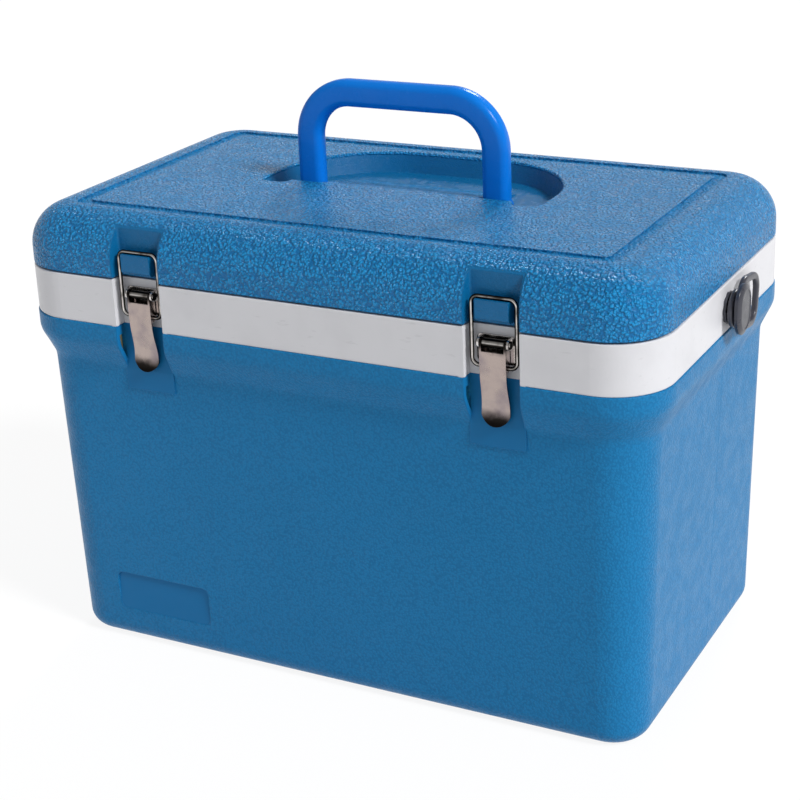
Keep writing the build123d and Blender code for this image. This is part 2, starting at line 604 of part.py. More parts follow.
# ---------------------------------------------------------------- lid insulation, liner and gasket
PLATE_BOTTOM = LID_BOTTOM + PLATE_SINK
PLATE_TOP = PLATE_BOTTOM + LINER_WALL
PLUG_BOTTOM = PLATE_BOTTOM - PLUG_DEPTH
mouth_slope = math.tan(math.radians(CAVITY_DRAFT))
mouth_half_x = CAVITY_WIDTH / 2 + mouth_slope * (PLUG_BOTTOM - FLOOR_TOP) - PLUG_CLEARANCE
mouth_half_y = CAVITY_DEPTH / 2 + mouth_slope * (PLUG_BOTTOM - FLOOR_TOP) - PLUG_CLEARANCE


def plug_form(inset, bottom, top, rounding):
    """The lid's plug, drafted like the cavity it drops into, inset by a wall."""
    edge = PLUG_RADIUS - inset
    points = [(edge, bottom), (edge + mouth_slope * (top - bottom), top)]
    return box_form(points, [rounding, 0], mouth_half_x - PLUG_RADIUS, mouth_half_y - PLUG_RADIUS)


def lid_inside(clearance, bottom, height):
    """A slab that fills the lid shell at its rim, clear of the pockets' skins."""
    with BuildPart() as made:
        add(lip_block(SHELL_WALL + clearance, bottom, height))
        add(latch_pockets(SHELL_WALL + clearance, POCKET_BOTTOM, LID_TOP), mode=Mode.SUBTRACT)
        add(hinge_pockets(SHELL_WALL + clearance, POCKET_BOTTOM, LID_TOP), mode=Mode.SUBTRACT)
    return made.part


with BuildPart() as lid_liner:
    add(lid_inside(FOAM_CLEARANCE, PLATE_BOTTOM, LINER_WALL))
    add(plug_form(0.0, PLUG_BOTTOM, PLATE_BOTTOM, PLUG_EDGE))
    plug_inside = plug_form(LINER_WALL, PLUG_BOTTOM + LINER_WALL, PLATE_TOP, PLUG_EDGE - LINER_WALL)
    add(plug_inside, mode=Mode.SUBTRACT)
lid_liner.part.label = "lid_liner"
export_step(lid_liner.part, "parts/lid_liner.step")

lid_foam_skin = SHELL_WALL + FOAM_CLEARANCE
foam_top = LID_TOP - lid_foam_skin
with BuildPart() as lid_insulation:
    add(lid_form(lid_foam_skin, PLATE_TOP, foam_top, LID_EDGE_RADIUS - lid_foam_skin))
    add(latch_pockets(lid_foam_skin, POCKET_BOTTOM, LID_TOP), mode=Mode.SUBTRACT)
    add(hinge_pockets(lid_foam_skin, POCKET_BOTTOM, LID_TOP), mode=Mode.SUBTRACT)
    with BuildSketch(Plane.XY.offset(RECESS_FLOOR - lid_foam_skin)):
        add(recess_outline(lid_foam_skin))
    extrude(amount=RECESS_SINK, mode=Mode.SUBTRACT)
    add(
        plug_form(
            LINER_WALL + FOAM_CLEARANCE,
            PLUG_BOTTOM + LINER_WALL + FOAM_CLEARANCE,
            PLATE_TOP,
            PLUG_EDGE - LINER_WALL - FOAM_CLEARANCE,
        )
    )
lid_insulation.part.label = "lid_insulation"
export_step(lid_insulation.part, "parts/lid_insulation.step")

gasket_half_x = mouth_half_x + PLUG_CLEARANCE + GASKET_GAP + GASKET_WIDTH
gasket_half_y = mouth_half_y + PLUG_CLEARANCE + GASKET_GAP + GASKET_WIDTH
with BuildPart() as lid_gasket:
    with BuildSketch(Plane.XY.offset(PLATE_BOTTOM)):
        RectangleRounded(2 * gasket_half_x, 2 * gasket_half_y, PLUG_RADIUS + GASKET_WIDTH)
        RectangleRounded(
            2 * (gasket_half_x - GASKET_WIDTH),
            2 * (gasket_half_y - GASKET_WIDTH),
            PLUG_RADIUS,
            mode=Mode.SUBTRACT,
        )
    extrude(amount=-GASKET_THICKNESS)
lid_gasket.part.label = "lid_gasket"
export_step(lid_gasket.part, "parts/lid_gasket.step")

# ---------------------------------------------------------------- handle
bar_middle = HANDLE_BAR / 2
leg_x = HANDLE_WIDTH / 2 - bar_middle
grip_z = PIVOT_Z + HANDLE_REACH - bar_middle
leg_inner_x = HANDLE_WIDTH / 2 - HANDLE_BAR
with BuildPart() as handle:
    with BuildLine(Plane(origin=(0, HANDLE_Y, 0), x_dir=(1, 0, 0), z_dir=(0, -1, 0))) as grip_path:
        FilletPolyline(
            (-leg_x, PIVOT_Z),
            (-leg_x, grip_z),
            (leg_x, grip_z),
            (leg_x, PIVOT_Z),
            radius=HANDLE_CORNER - bar_middle,
        )
    with BuildSketch(Plane(origin=(-leg_x, HANDLE_Y, PIVOT_Z), x_dir=(1, 0, 0), z_dir=(0, 0, 1))):
        RectangleRounded(HANDLE_BAR, HANDLE_THICK, HANDLE_ROUND)
    sweep(path=grip_path.wires()[0])
    # rounded feet that turn on the pivot, washers and the pegs that snap into the platform
    for side in (-1, 1):
        leg_side = (side * leg_inner_x, HANDLE_Y, PIVOT_Z)
        outwards = Plane(origin=leg_side, x_dir=(0, 1, 0), z_dir=(side, 0, 0))
        inwards = Plane(origin=leg_side, x_dir=(0, 1, 0), z_dir=(-side, 0, 0))
        with BuildSketch(outwards):
            Circle(HANDLE_THICK / 2)
        extrude(amount=HANDLE_BAR)
        with BuildSketch(inwards):
            Circle(HANDLE_THICK / 2 - WASHER_STEP)
        extrude(amount=leg_inner_x - PLATFORM_HALF_WIDTH - SIDE_CLEARANCE)
        with BuildSketch(inwards):
            Circle(PEG_RADIUS)
        extrude(amount=leg_inner_x - PLATFORM_HALF_WIDTH + PEG_REACH)
handle.part.label = "handle"
export_step(handle.part, "parts/handle.step")

# ---------------------------------------------------------------- draw latches
half_lever = LEVER_WIDTH / 2
ear_inner = half_lever + SIDE_CLEARANCE
plate_front = -POCKET_FLOOR_Y - SHEET
ear_outer = ear_inner + SHEET
lever_front = LATCH_PIVOT_Y - LATCH_BARREL_RADIUS
lever_back = lever_front + SHEET
cheek_inner = half_lever - SHEET
cheek_back = BAIL_WIRE_RADIUS + SHEET
cheek_foot = BAIL_BOTTOM_Z - BAIL_WIRE_RADIUS - SHEET


def build_latch_base(center_x):
    """The plate screwed in the pocket, with two upright ears that hold the pin."""
    with BuildPart() as made:
        with BuildSketch(FRONT_FLOOR):
            with Locations((center_x, (LATCH_PLATE_BOTTOM + LATCH_PLATE_TOP) / 2)):
                RectangleRounded(LATCH_PLATE_WIDTH, LATCH_PLATE_TOP - LATCH_PLATE_BOTTOM, PLATE_CORNER)
        extrude(amount=SHEET)
        for side in (-1, 1):
            with BuildSketch(Plane.YZ.offset(center_x + side * ear_inner)):
                with Locations((LATCH_PIVOT_Y, LATCH_PIVOT_Z)):
                    Circle(LATCH_BARREL_RADIUS)
                with Locations(((LATCH_PIVOT_Y + plate_front) / 2, LATCH_PIVOT_Z)):
                    Rectangle(plate_front - LATCH_PIVOT_Y, 2 * LATCH_BARREL_RADIUS)
                with Locations((LATCH_PIVOT_Y, LATCH_PIVOT_Z)):
                    Circle(LATCH_PIN_RADIUS, mode=Mode.SUBTRACT)
            extrude(amount=side * SHEET)
        near = [(x, z) for x, z in LATCH_SCREWS if abs(x - center_x) < half_lever]
        add(screw_holes(near, FRONT_FLOOR, SHEET, SCREW_RADIUS), mode=Mode.SUBTRACT)
        add(screw_heads(near, FRONT_FLOOR.offset(SHEET)), mode=Mode.SUBTRACT)
    return made.part


def build_latch_pin(center_x):
    """The rivet the lever turns on, headed outside both ears, with a spacer sleeve between the cheeks."""
    with BuildPart() as made:
        with BuildSketch(Plane.YZ.offset(center_x)):
            with Locations((LATCH_PIVOT_Y, LATCH_PIVOT_Z)):
                Circle(LATCH_PIN_RADIUS)
        extrude(amount=ear_outer, both=True)
        with BuildSketch(Plane.YZ.offset(center_x)):
            with Locations((LATCH_PIVOT_Y, LATCH_PIVOT_Z)):
                Circle(SLEEVE_RADIUS)
        extrude(amount=cheek_inner - SIDE_CLEARANCE, both=True)
        for side in (-1, 1):
            with BuildSketch(Plane.YZ.offset(center_x + side * ear_outer)):
                with Locations((LATCH_PIVOT_Y, LATCH_PIVOT_Z)):
                    Circle(LATCH_PIN_RADIUS + RIVET_RIM)
            extrude(amount=side * RIVET_HEAD)
        fillet(made.edges().group_by(Axis.X)[0] + made.edges().group_by(Axis.X)[-1], RIVET_HEAD / 2)
    return made.part


def build_latch_lever(center_x):
    """A stamped strip with a curled tip and two cheeks, which turn on the pin and carry the bail."""
    strip_top = LATCH_PIVOT_Z - LEVER_WINDOW
    bend = [
        (lever_front, strip_top - LEVER_DROP / 8),
        (lever_front + LEVER_HOLLOW / 3, LATCH_PIVOT_Z - LEVER_DROP / 2),
        (lever_front + LEVER_HOLLOW, LATCH_PIVOT_Z - LEVER_DROP * 3 / 4),
        (lever_front + LEVER_HOLLOW / 3, LEVER_TIP_Z),
    ]
    back = [(y + SHEET, z) for y, z in reversed(bend)]
    with BuildPart() as made:
        with BuildSketch(Plane.YZ.offset(center_x)):
            with BuildLine():
                Line((lever_front, strip_top), bend[0])
                Spline(*bend, tangents=((0, -1), (-0.45, -1)))
                Line(bend[-1], back[0])
                Spline(*back, tangents=((0.45, 1), (0, 1)))
                Line(back[-1], (lever_back, strip_top))
                Line((lever_back, strip_top), (lever_front, strip_top))
            make_face()
        extrude(amount=half_lever + LEVER_FLARE, both=True)
        # seen from the front: straight sides that flare a little into a rounded tip
        with BuildSketch(Plane(origin=(center_x, 0, LEVER_TIP_Z), x_dir=(1, 0, 0), z_dir=(0, -1, 0))):
            Rectangle(3 * LEVER_WIDTH, 3 * LEVER_DROP)
            with BuildLine():
                Line((half_lever, LEVER_DROP), (half_lever, LEVER_DROP / 2))
                Spline(
                    (half_lever, LEVER_DROP / 2),
                    (half_lever + LEVER_FLARE, LEVER_TIP_ROUND),
                    tangents=((0, -1), (0, -1)),
                )
                ThreePointArc(
                    (half_lever + LEVER_FLARE, LEVER_TIP_ROUND),
                    (0, 0),
                    (-half_lever - LEVER_FLARE, LEVER_TIP_ROUND),
                )
                Spline(
                    (-half_lever - LEVER_FLARE, LEVER_TIP_ROUND),
                    (-half_lever, LEVER_DROP / 2),
                    tangents=((0, 1), (0, 1)),
                )
                Line((-half_lever, LEVER_DROP / 2), (-half_lever, LEVER_DROP))
                Line((-half_lever, LEVER_DROP), (half_lever, LEVER_DROP))
            make_face(mode=Mode.SUBTRACT)
        extrude(amount=LIP_DEPTH, mode=Mode.SUBTRACT)
        for side in (-1, 1):
            with BuildSketch(Plane.YZ.offset(center_x + side * half_lever)):
                with Locations((LATCH_PIVOT_Y, LATCH_PIVOT_Z)):
                    Circle(LATCH_BARREL_RADIUS)
                with Locations((LATCH_PIVOT_Y, BAIL_BOTTOM_Z)):
                    Circle(BAIL_WIRE_RADIUS + SHEET)
                with Locations(((LATCH_PIVOT_Y + lever_front) / 2, (LATCH_PIVOT_Z + cheek_foot) / 2)):
                    Rectangle(LATCH_PIVOT_Y - lever_front, LATCH_PIVOT_Z - cheek_foot)
                with Locations((LATCH_PIVOT_Y + cheek_back / 2, (LATCH_PIVOT_Z + BAIL_BOTTOM_Z) / 2)):
                    Rectangle(cheek_back, LATCH_PIVOT_Z - BAIL_BOTTOM_Z)
            extrude(amount=-side * SHEET)
        with BuildSketch(Plane.YZ.offset(center_x)):
            with Locations((LATCH_PIVOT_Y, LATCH_PIVOT_Z)):
                Circle(LATCH_PIN_RADIUS + PIN_CLEARANCE)
            with Locations((LATCH_PIVOT_Y, BAIL_BOTTOM_Z)):
                Circle(BAIL_WIRE_RADIUS + PIN_CLEARANCE)
        extrude(amount=half_lever, both=True, mode=Mode.SUBTRACT)
    return made.part


def build_latch_bail(center_x):
    """The wire loop that runs through the lever's cheeks and hooks over the catch."""
    half = BAIL_WIDTH / 2
    with BuildPart() as made:
        wire_plane = Plane(origin=(center_x, LATCH_PIVOT_Y, 0), x_dir=(1, 0, 0), z_dir=(0, -1, 0))
        with BuildLine(wire_plane) as half_loop:
            FilletPolyline(
                (0, BAIL_BOTTOM_Z),
                (half, BAIL_BOTTOM_Z),
                (half, BAIL_TOP_Z),
                (0, BAIL_TOP_Z),
                radius=BAIL_CORNER,
            )
        with BuildSketch(Plane.YZ.offset(center_x)):
            with Locations((LATCH_PIVOT_Y, BAIL_BOTTOM_Z)):
                Circle(BAIL_WIRE_RADIUS)
        sweep(path=half_loop.wires()[0])
        mirror(about=Plane.YZ.offset(center_x))
    return made.part


for name, side in (("left", -1), ("right", 1)):
    for kind, build in (
        ("latch_base", build_latch_base),
        ("latch_pin", build_latch_pin),
        ("latch_lever", build_latch_lever),
        ("latch_bail", build_latch_bail),
    ):
        piece = build(side * LATCH_X)
        piece.label = f"{kind}_{name}"
        export_step(piece, f"parts/{kind}_{name}.step")

# ---------------------------------------------------------------- hinges
knuckle_middle = HINGE_WIDTH - 2 * HINGE_OUTER_KNUCKLE - 2 * SIDE_CLEARANCE
leaf_start = HINGE_BARREL_RADIUS + SIDE_CLEARANCE


def build_leaf(center_x, up, screws):
    """One hinge leaf with its knuckles; up is 1 for the lid's leaf and -1 for the box's."""
    outer = HINGE_WIDTH / 2 - HINGE_OUTER_KNUCKLE / 2
    spans = [(-outer, HINGE_OUTER_KNUCKLE), (outer, HINGE_OUTER_KNUCKLE)]
    if up > 0:
        spans = [(0.0, knuckle_middle)]
    with BuildPart() as made:
        with BuildSketch(REAR_FLOOR):
            with Locations((-center_x, HINGE_AXIS_Z + up * (leaf_start + HINGE_LEAF) / 2)):
                RectangleRounded(HINGE_WIDTH, HINGE_LEAF - leaf_start, HINGE_CORNER)
            for middle, length in spans:
                with Locations((-center_x - middle, HINGE_AXIS_Z + up * (leaf_start + HINGE_CORNER) / 2)):
                    Rectangle(length, leaf_start + HINGE_CORNER)
        extrude(amount=HINGE_SHEET)
        for middle, length in spans:
            with BuildSketch(Plane.YZ.offset(center_x + middle)):
                with Locations((HINGE_AXIS_Y, HINGE_AXIS_Z)):
                    Circle(HINGE_BARREL_RADIUS)
            extrude(amount=length / 2, both=True)
        with BuildSketch(Plane.YZ.offset(center_x)):
            with Locations((HINGE_AXIS_Y, HINGE_AXIS_Z)):
                Circle(HINGE_PIN_RADIUS + (PIN_CLEARANCE if up > 0 else 0.0))
        extrude(amount=HINGE_WIDTH / 2, both=True, mode=Mode.SUBTRACT)
        near = [(x, z) for x, z in screws if abs(x - center_x) < HINGE_WIDTH / 2]
        add(screw_holes(rear_points(near), REAR_FLOOR, HINGE_SHEET, SCREW_RADIUS), mode=Mode.SUBTRACT)
        add(screw_heads(rear_points(near), REAR_FLOOR.offset(HINGE_SHEET)), mode=Mode.SUBTRACT)
    return made.part


def build_screws(points, plane, sheet):
    """A group of countersunk screws, heads flush with a sheet, shanks through the wall behind it."""
    with BuildPart() as made:
        add(screw_heads(points, plane.offset(sheet)))
        add(screw_holes(points, plane.offset(sheet), -(sheet + SHELL_WALL), SCREW_RADIUS))
    return made.part


def build_hinge_pin(center_x):
    """The hinge's pin, with a flat head at each end."""
    with BuildPart() as made:
        with BuildSketch(Plane.YZ.offset(center_x)):
            with Locations((HINGE_AXIS_Y, HINGE_AXIS_Z)):
                Circle(HINGE_PIN_RADIUS)
        extrude(amount=HINGE_WIDTH / 2, both=True)
        for side in (-1, 1):
            with BuildSketch(Plane.YZ.offset(center_x + side * HINGE_WIDTH / 2)):
                with Locations((HINGE_AXIS_Y, HINGE_AXIS_Z)):
                    Circle(HINGE_PIN_RADIUS + RIVET_RIM)
            extrude(amount=side * RIVET_HEAD)
    return made.part


for name, side in (("left", -1), ("right", 1)):
    for kind, piece in (
        ("hinge_lower_leaf", build_leaf(side * HINGE_X, -1, HINGE_LOWER_SCREWS)),
        ("hinge_upper_leaf", build_leaf(side * HINGE_X, 1, HINGE_UPPER_SCREWS)),
        ("hinge_pin", build_hinge_pin(side * HINGE_X)),
    ):
        piece.label = f"{kind}_{name}"
        export_step(piece, f"parts/{kind}_{name}.step")

for kind, piece in (
    ("hinge_lower_screws", build_screws(rear_points(HINGE_LOWER_SCREWS), REAR_FLOOR, HINGE_SHEET)),
    ("hinge_upper_screws", build_screws(rear_points(HINGE_UPPER_SCREWS), REAR_FLOOR, HINGE_SHEET)),
    ("latch_screws", build_screws(LATCH_SCREWS, FRONT_FLOOR, SHEET)),
):
    piece.label = kind
    export_step(piece, f"parts/{kind}.step")

# ---------------------------------------------------------------- strap studs and rings
band_face = LIP_WIDTH / 2
neck_start = band_face + STUD_BASE_THICK
head_start = neck_start + STUD_NECK_LENGTH
ring_start = neck_start + (STUD_NECK_LENGTH - RING_THICK) / 2
loop_end = RING_REACH - RING_BAR


def build_stud(side):
    """The fixed stud: a round foot on the band, a neck and a bevelled head."""
    with BuildPart() as made:
        for start, length, radius in (
            (band_face, STUD_BASE_THICK, STUD_BASE_RADIUS),
            (neck_start, STUD_NECK_LENGTH, STUD_NECK_RADIUS),
        ):
            with BuildSketch(Plane.YZ.offset(side * start)):
                with Locations((0, STUD_Z)):
                    Circle(radius)
            extrude(amount=side * length)
        with BuildSketch(Plane.YZ.offset(side * head_start)):
            with Locations((0, STUD_Z)):
                RectangleRounded(STUD_HEAD_WIDTH, STUD_HEAD_HEIGHT, STUD_HEAD_CORNER)
        extrude(amount=side * STUD_HEAD_THICK)
        rim = made.edges().filter_by(lambda e: abs(abs(e.center().X) - head_start - STUD_HEAD_THICK) < MATCH)
        chamfer(rim, STUD_BEVEL)
    return made.part


def build_ring(side):
    """The strap ring: a hub round the stud's neck and a frame with a slot for the webbing."""
    with BuildSketch() as flat_ring:
        Circle(RING_HUB_RADIUS)
        with Locations((RING_REACH / 2, 0)):
            RectangleRounded(RING_REACH, RING_WIDTH, RING_CORNER)
        Circle(STUD_NECK_RADIUS + PIN_CLEARANCE, mode=Mode.SUBTRACT)
        with Locations(((RING_LOOP_START + loop_end) / 2, 0)):
            RectangleRounded(
                loop_end - RING_LOOP_START,
                RING_WIDTH - 2 * RING_BAR,
                RING_CORNER - RING_BAR,
                mode=Mode.SUBTRACT,
            )
    turned = flat_ring.sketch.rotate(Axis.Z, RING_ANGLE)
    with BuildPart() as made:
        with BuildSketch(Plane(origin=(side * ring_start, 0, STUD_Z), x_dir=(0, 1, 0), z_dir=(1, 0, 0))):
            add(turned)
        extrude(amount=side * RING_THICK)
    return made.part


for name, side in (("left", -1), ("right", 1)):
    for kind, piece in (("strap_stud", build_stud(side)), ("strap_ring", build_ring(side))):
        piece.label = f"{kind}_{name}"
        export_step(piece, f"parts/{kind}_{name}.step")

# ---------------------------------------------------------------- ice packs
pack_x = PACK_GAP / 2 + PACK_WIDTH / 2
pack_y = CAVITY_DEPTH / 2 - PACK_WALL_GAP - PACK_THICK / 2
cap_x = pack_x - PACK_WIDTH / 2 + CAP_RADIUS + PACK_RADIUS
pack_top = FLOOR_TOP + PACK_HEIGHT


def build_pack(center_x, center_y):
    """A blow-moulded water pack with a sunk panel in each broad face."""
    with BuildPart() as made:
        with BuildSketch(Plane.XY.offset(FLOOR_TOP)):
            with Locations((center_x, center_y)):
                RectangleRounded(PACK_WIDTH, PACK_THICK, PACK_RADIUS)
        extrude(amount=PACK_HEIGHT)
        fillet(made.edges().group_by(Axis.Z)[-1], PACK_EDGE)
        fillet(made.edges().group_by(Axis.Z)[0], PACK_EDGE)
        for face_y in (-1, 1):
            place = (center_x, center_y + face_y * PACK_THICK / 2, FLOOR_TOP + PACK_HEIGHT / 2)
            with BuildSketch(Plane(origin=place, x_dir=(1, 0, 0), z_dir=(0, -face_y, 0))):
                RectangleRounded(
                    PACK_WIDTH - 2 * PACK_PANEL_MARGIN, PACK_HEIGHT - 2 * PACK_PANEL_MARGIN, PACK_RADIUS
                )
            extrude(amount=PACK_PANEL_SINK, taper=PACK_PANEL_DRAFT, mode=Mode.SUBTRACT)
    return made.part


for row, side_y in (("front", -1), ("rear", 1)):
    for name, side_x in (("left", -1), ("right", 1)):
        piece = build_pack(side_x * pack_x, side_y * pack_y)
        piece.label = f"ice_pack_{row}_{name}"
        export_step(piece, f"parts/ice_pack_{row}_{name}.step")

with BuildPart() as ice_pack_caps:
    with BuildSketch(Plane.XY.offset(pack_top)):
        with Locations((-cap_x, -pack_y), (-cap_x, pack_y), (cap_x, -pack_y), (cap_x, pack_y)):
            RegularPolygon(CAP_RADIUS, CAP_SIDES)
    extrude(amount=CAP_HEIGHT)
    chamfer(ice_pack_caps.edges().group_by(Axis.Z)[-1], CAP_BEVEL)
ice_pack_caps.part.label = "ice_pack_caps"
export_step(ice_pack_caps.part, "parts/ice_pack_caps.step")
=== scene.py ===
"""Looks of an insulated vaccine carrier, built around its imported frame.

The frame gives the size and place of every moulded, stamped and turned piece. This script gives each one its
finish, models the small pieces that show how it is made, such as screws, seal, caps and parting lines, and sets
the studio and the camera. Everything is in metres, in the frame's own axes: the latches face -Y and Z is up.
"""

import json
import logging
import math
from dataclasses import dataclass
from enum import Enum

import bpy
import numpy as np
from mathutils import Matrix, Vector


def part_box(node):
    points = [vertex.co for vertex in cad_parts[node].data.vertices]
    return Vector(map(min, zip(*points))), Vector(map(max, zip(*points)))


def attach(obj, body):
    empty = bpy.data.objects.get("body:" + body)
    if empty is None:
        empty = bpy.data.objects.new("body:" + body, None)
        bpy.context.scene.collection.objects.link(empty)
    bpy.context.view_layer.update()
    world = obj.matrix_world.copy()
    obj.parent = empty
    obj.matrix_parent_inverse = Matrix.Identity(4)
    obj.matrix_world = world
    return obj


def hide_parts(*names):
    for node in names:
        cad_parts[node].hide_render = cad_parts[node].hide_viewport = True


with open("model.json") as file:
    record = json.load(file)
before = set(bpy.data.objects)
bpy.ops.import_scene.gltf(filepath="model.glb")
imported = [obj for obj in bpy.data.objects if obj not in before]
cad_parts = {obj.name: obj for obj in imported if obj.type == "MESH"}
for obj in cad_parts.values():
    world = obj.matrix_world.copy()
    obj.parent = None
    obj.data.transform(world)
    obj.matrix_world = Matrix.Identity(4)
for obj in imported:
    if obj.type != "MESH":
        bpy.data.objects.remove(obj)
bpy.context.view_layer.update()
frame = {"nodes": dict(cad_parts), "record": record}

MM = 0.001
SMOOTH_UNDER = math.radians(35)
LOG = logging.getLogger("vaccine_carrier")
Colour = tuple[float, float, float, float]
Pair = tuple[float, float]
Triple = tuple[float, float, float]
Corners = tuple[Triple, Triple]
Socket = bpy.types.NodeSocket
Tree = bpy.types.NodeTree

MATH = "ShaderNodeMath"
VECTOR_MATH = "ShaderNodeVectorMath"
MAP_RANGE = "ShaderNodeMapRange"
MIX = "ShaderNodeMix"
NOISE = "ShaderNodeTexNoise"
VORONOI = "ShaderNodeTexVoronoi"
BUMP = "ShaderNodeBump"
BEVEL = "ShaderNodeBevel"


class Side(Enum):
    """The two ends of the carrier, as signs of X."""

    LEFT = -1
    RIGHT = 1

    @property
    def word(self) -> str:
        """The side's name as the frame's nodes spell it."""
        return self.name.lower()


# ---------------------------------------------------------------- node helpers
def linear(hex_colour: str) -> Colour:
    """Turns an sRGB hex colour into a linear RGBA one.

    Args:
        hex_colour: six hex digits, such as "2D79B0".

    Returns:
        Each channel c as c / 12.92 under 0.04045 and ((c + 0.055) / 1.055) ** 2.4 above it, and an alpha of 1.
    """
    channels = [int(hex_colour[i : i + 2], 16) / 255 for i in (0, 2, 4)]
    return tuple(c / 12.92 if c <= 0.04045 else ((c + 0.055) / 1.055) ** 2.4 for c in channels) + (1.0,)


def add_node(
    tree: Tree, kind: str, settings: dict | None = None, links: dict | None = None, out: int | str = 0
) -> Socket:
    """Adds one node to a tree.

    Args:
        tree: the node tree.
        kind: the node's type name.
        settings: attribute names or input sockets (by name or number), and the values they get.
        links: input sockets (by name or number), and the output sockets that feed them.
        out: the output socket to hand back, by name or number.

    Returns:
        That output socket.
    """
    node = tree.nodes.new(kind)
    for key, value in (settings or {}).items():
        if isinstance(key, str) and hasattr(node, key):
            setattr(node, key, value)
        else:
            node.inputs[key].default_value = value
    for key, source in (links or {}).items():
        tree.links.new(source, node.inputs[key])
    return node.outputs[out]


def new_material(name: str) -> tuple[bpy.types.Material, Tree, Socket]:
    """Makes an empty material.

    Args:
        name: the material's name.

    Returns:
        The material, its node tree and the object's own coordinates in metres.
    """
    material = bpy.data.materials.new(name)
    material.use_nodes = True
    tree = material.node_tree
    tree.nodes.clear()
    return material, tree, add_node(tree, "ShaderNodeTexCoord", out="Object")


def close_material(tree: Tree, settings: dict, links: dict) -> None:
    """Ends a material with one Principled surface.

    Args:
        tree: the material's node tree.
        settings: the surface's constant sockets.
        links: the surface's patterned sockets.
    """
    surface = add_node(tree, "ShaderNodeBsdfPrincipled", settings, links)
    tree.links.new(surface, tree.nodes.new("ShaderNodeOutputMaterial").inputs["Surface"])


# ---------------------------------------------------------------- patterns
def box_mask(tree: Tree, point: Socket, corners: Corners, edge: float = 0.35 * MM) -> Socket:
    """A mask that is 1 inside a box and 0 outside it.

    The largest of |point - middle| - half size over the three axes is under 0 inside; it is ramped over the edge.

    Args:
        tree: the material's node tree.
        point: the place on the surface.
        corners: the box's lowest and highest corners.
        edge: half the width of the soft edge.

    Returns:
        The mask.
    """
    middle = [(a + b) / 2 for a, b in zip(*corners)]
    half = [(b - a) / 2 for a, b in zip(*corners)]
    offset = add_node(tree, VECTOR_MATH, {"operation": "SUBTRACT", 1: middle}, {0: point})
    apart = add_node(tree, VECTOR_MATH, {"operation": "ABSOLUTE"}, {0: offset})
    beyond = add_node(tree, VECTOR_MATH, {"operation": "SUBTRACT", 1: half}, {0: apart})
    parts = add_node(tree, "ShaderNodeSeparateXYZ", links={0: beyond}).node.outputs
    wide = add_node(tree, MATH, {"operation": "MAXIMUM"}, {0: parts[0], 1: parts[1]})
    most = add_node(tree, MATH, {"operation": "MAXIMUM"}, {0: wide, 1: parts[2]})
    span = {"From Min": -edge, "From Max": edge, "To Min": 1.0, "To Max": 0.0}
    return add_node(tree, MAP_RANGE, span, {"Value": most})


def mirrored(tree: Tree, point: Socket) -> Socket:
    """The same place on the +X half, so that one mask serves both ends."""
    parts = add_node(tree, "ShaderNodeSeparateXYZ", links={0: point}).node.outputs
    width = add_node(tree, MATH, {"operation": "ABSOLUTE"}, {0: parts[0]})
    return add_node(tree, "ShaderNodeCombineXYZ", links={0: width, 1: parts[1], 2: parts[2]})


def patches(
    tree: Tree,
    point: Socket,
    size: float,
    span: Pair = (0.35, 0.65),
    to: Pair = (0.0, 1.0),
    stretch: Triple = (1.0, 1.0, 1.0),
) -> Socket:
    """Soft uneven patches: noise, cut to a span and mapped.

    Args:
        tree: the material's node tree.
        point: the place on the surface.
        size: a patch's width in metres.
        span: the part of the noise that counts, around 0.5.
        to: what the span's two ends become.
        stretch: how many times finer the patches are along each axis.

    Returns:
        The mapped value.
    """
    place = add_node(tree, VECTOR_MATH, {"operation": "MULTIPLY", 1: stretch}, {0: point})
    made = add_node(tree, NOISE, {"Scale": 1 / size, "Detail": 3.0}, {"Vector": place})
    settings = {"interpolation_type": "SMOOTHSTEP", "From Min": span[0], "From Max": span[1]}
    return add_node(tree, MAP_RANGE, settings | {"To Min": to[0], "To Max": to[1]}, {"Value": made})


def pebbles(tree: Tree, point: Socket, size: float, push: float = 1.1, span: Pair = (0.16, 0.84)) -> Socket:
    """The mould's etched leather grain: rounded, crowded pebbles of uneven outline.

    The distance to the nearest of scattered centres makes a dome round each centre. The place is first pushed
    about by slightly wider noise, which bends the outlines and joins some pebbles.

    Args:
        tree: the material's node tree.
        point: the place on the surface.
        size: a pebble's width in metres.
        push: how far the noise pushes, in pebbles.
        span: the distances, in pebbles, at which a pebble is highest and a crease deepest.

    Returns:
        The height, from 0 in a crease to 1 on top.
    """
    bend = add_node(tree, NOISE, {"Scale": 0.8 / size, "Detail": 1.0}, {"Vector": point}, out="Color")
    centred = add_node(tree, VECTOR_MATH, {"operation": "SUBTRACT", 1: (0.5, 0.5, 0.5)}, {0: bend})
    reach = (push * size,) * 3
    pushed = add_node(tree, VECTOR_MATH, {"operation": "MULTIPLY_ADD", 1: reach}, {0: centred, 2: point})
    near = add_node(tree, VORONOI, {"Scale": 1 / size}, {"Vector": pushed}, out="Distance")
    ends = {"From Min": span[0], "From Max": span[1], "To Min": 1.0, "To Max": 0.0}
    return add_node(tree, MAP_RANGE, {"interpolation_type": "SMOOTHSTEP"} | ends, {"Value": near})


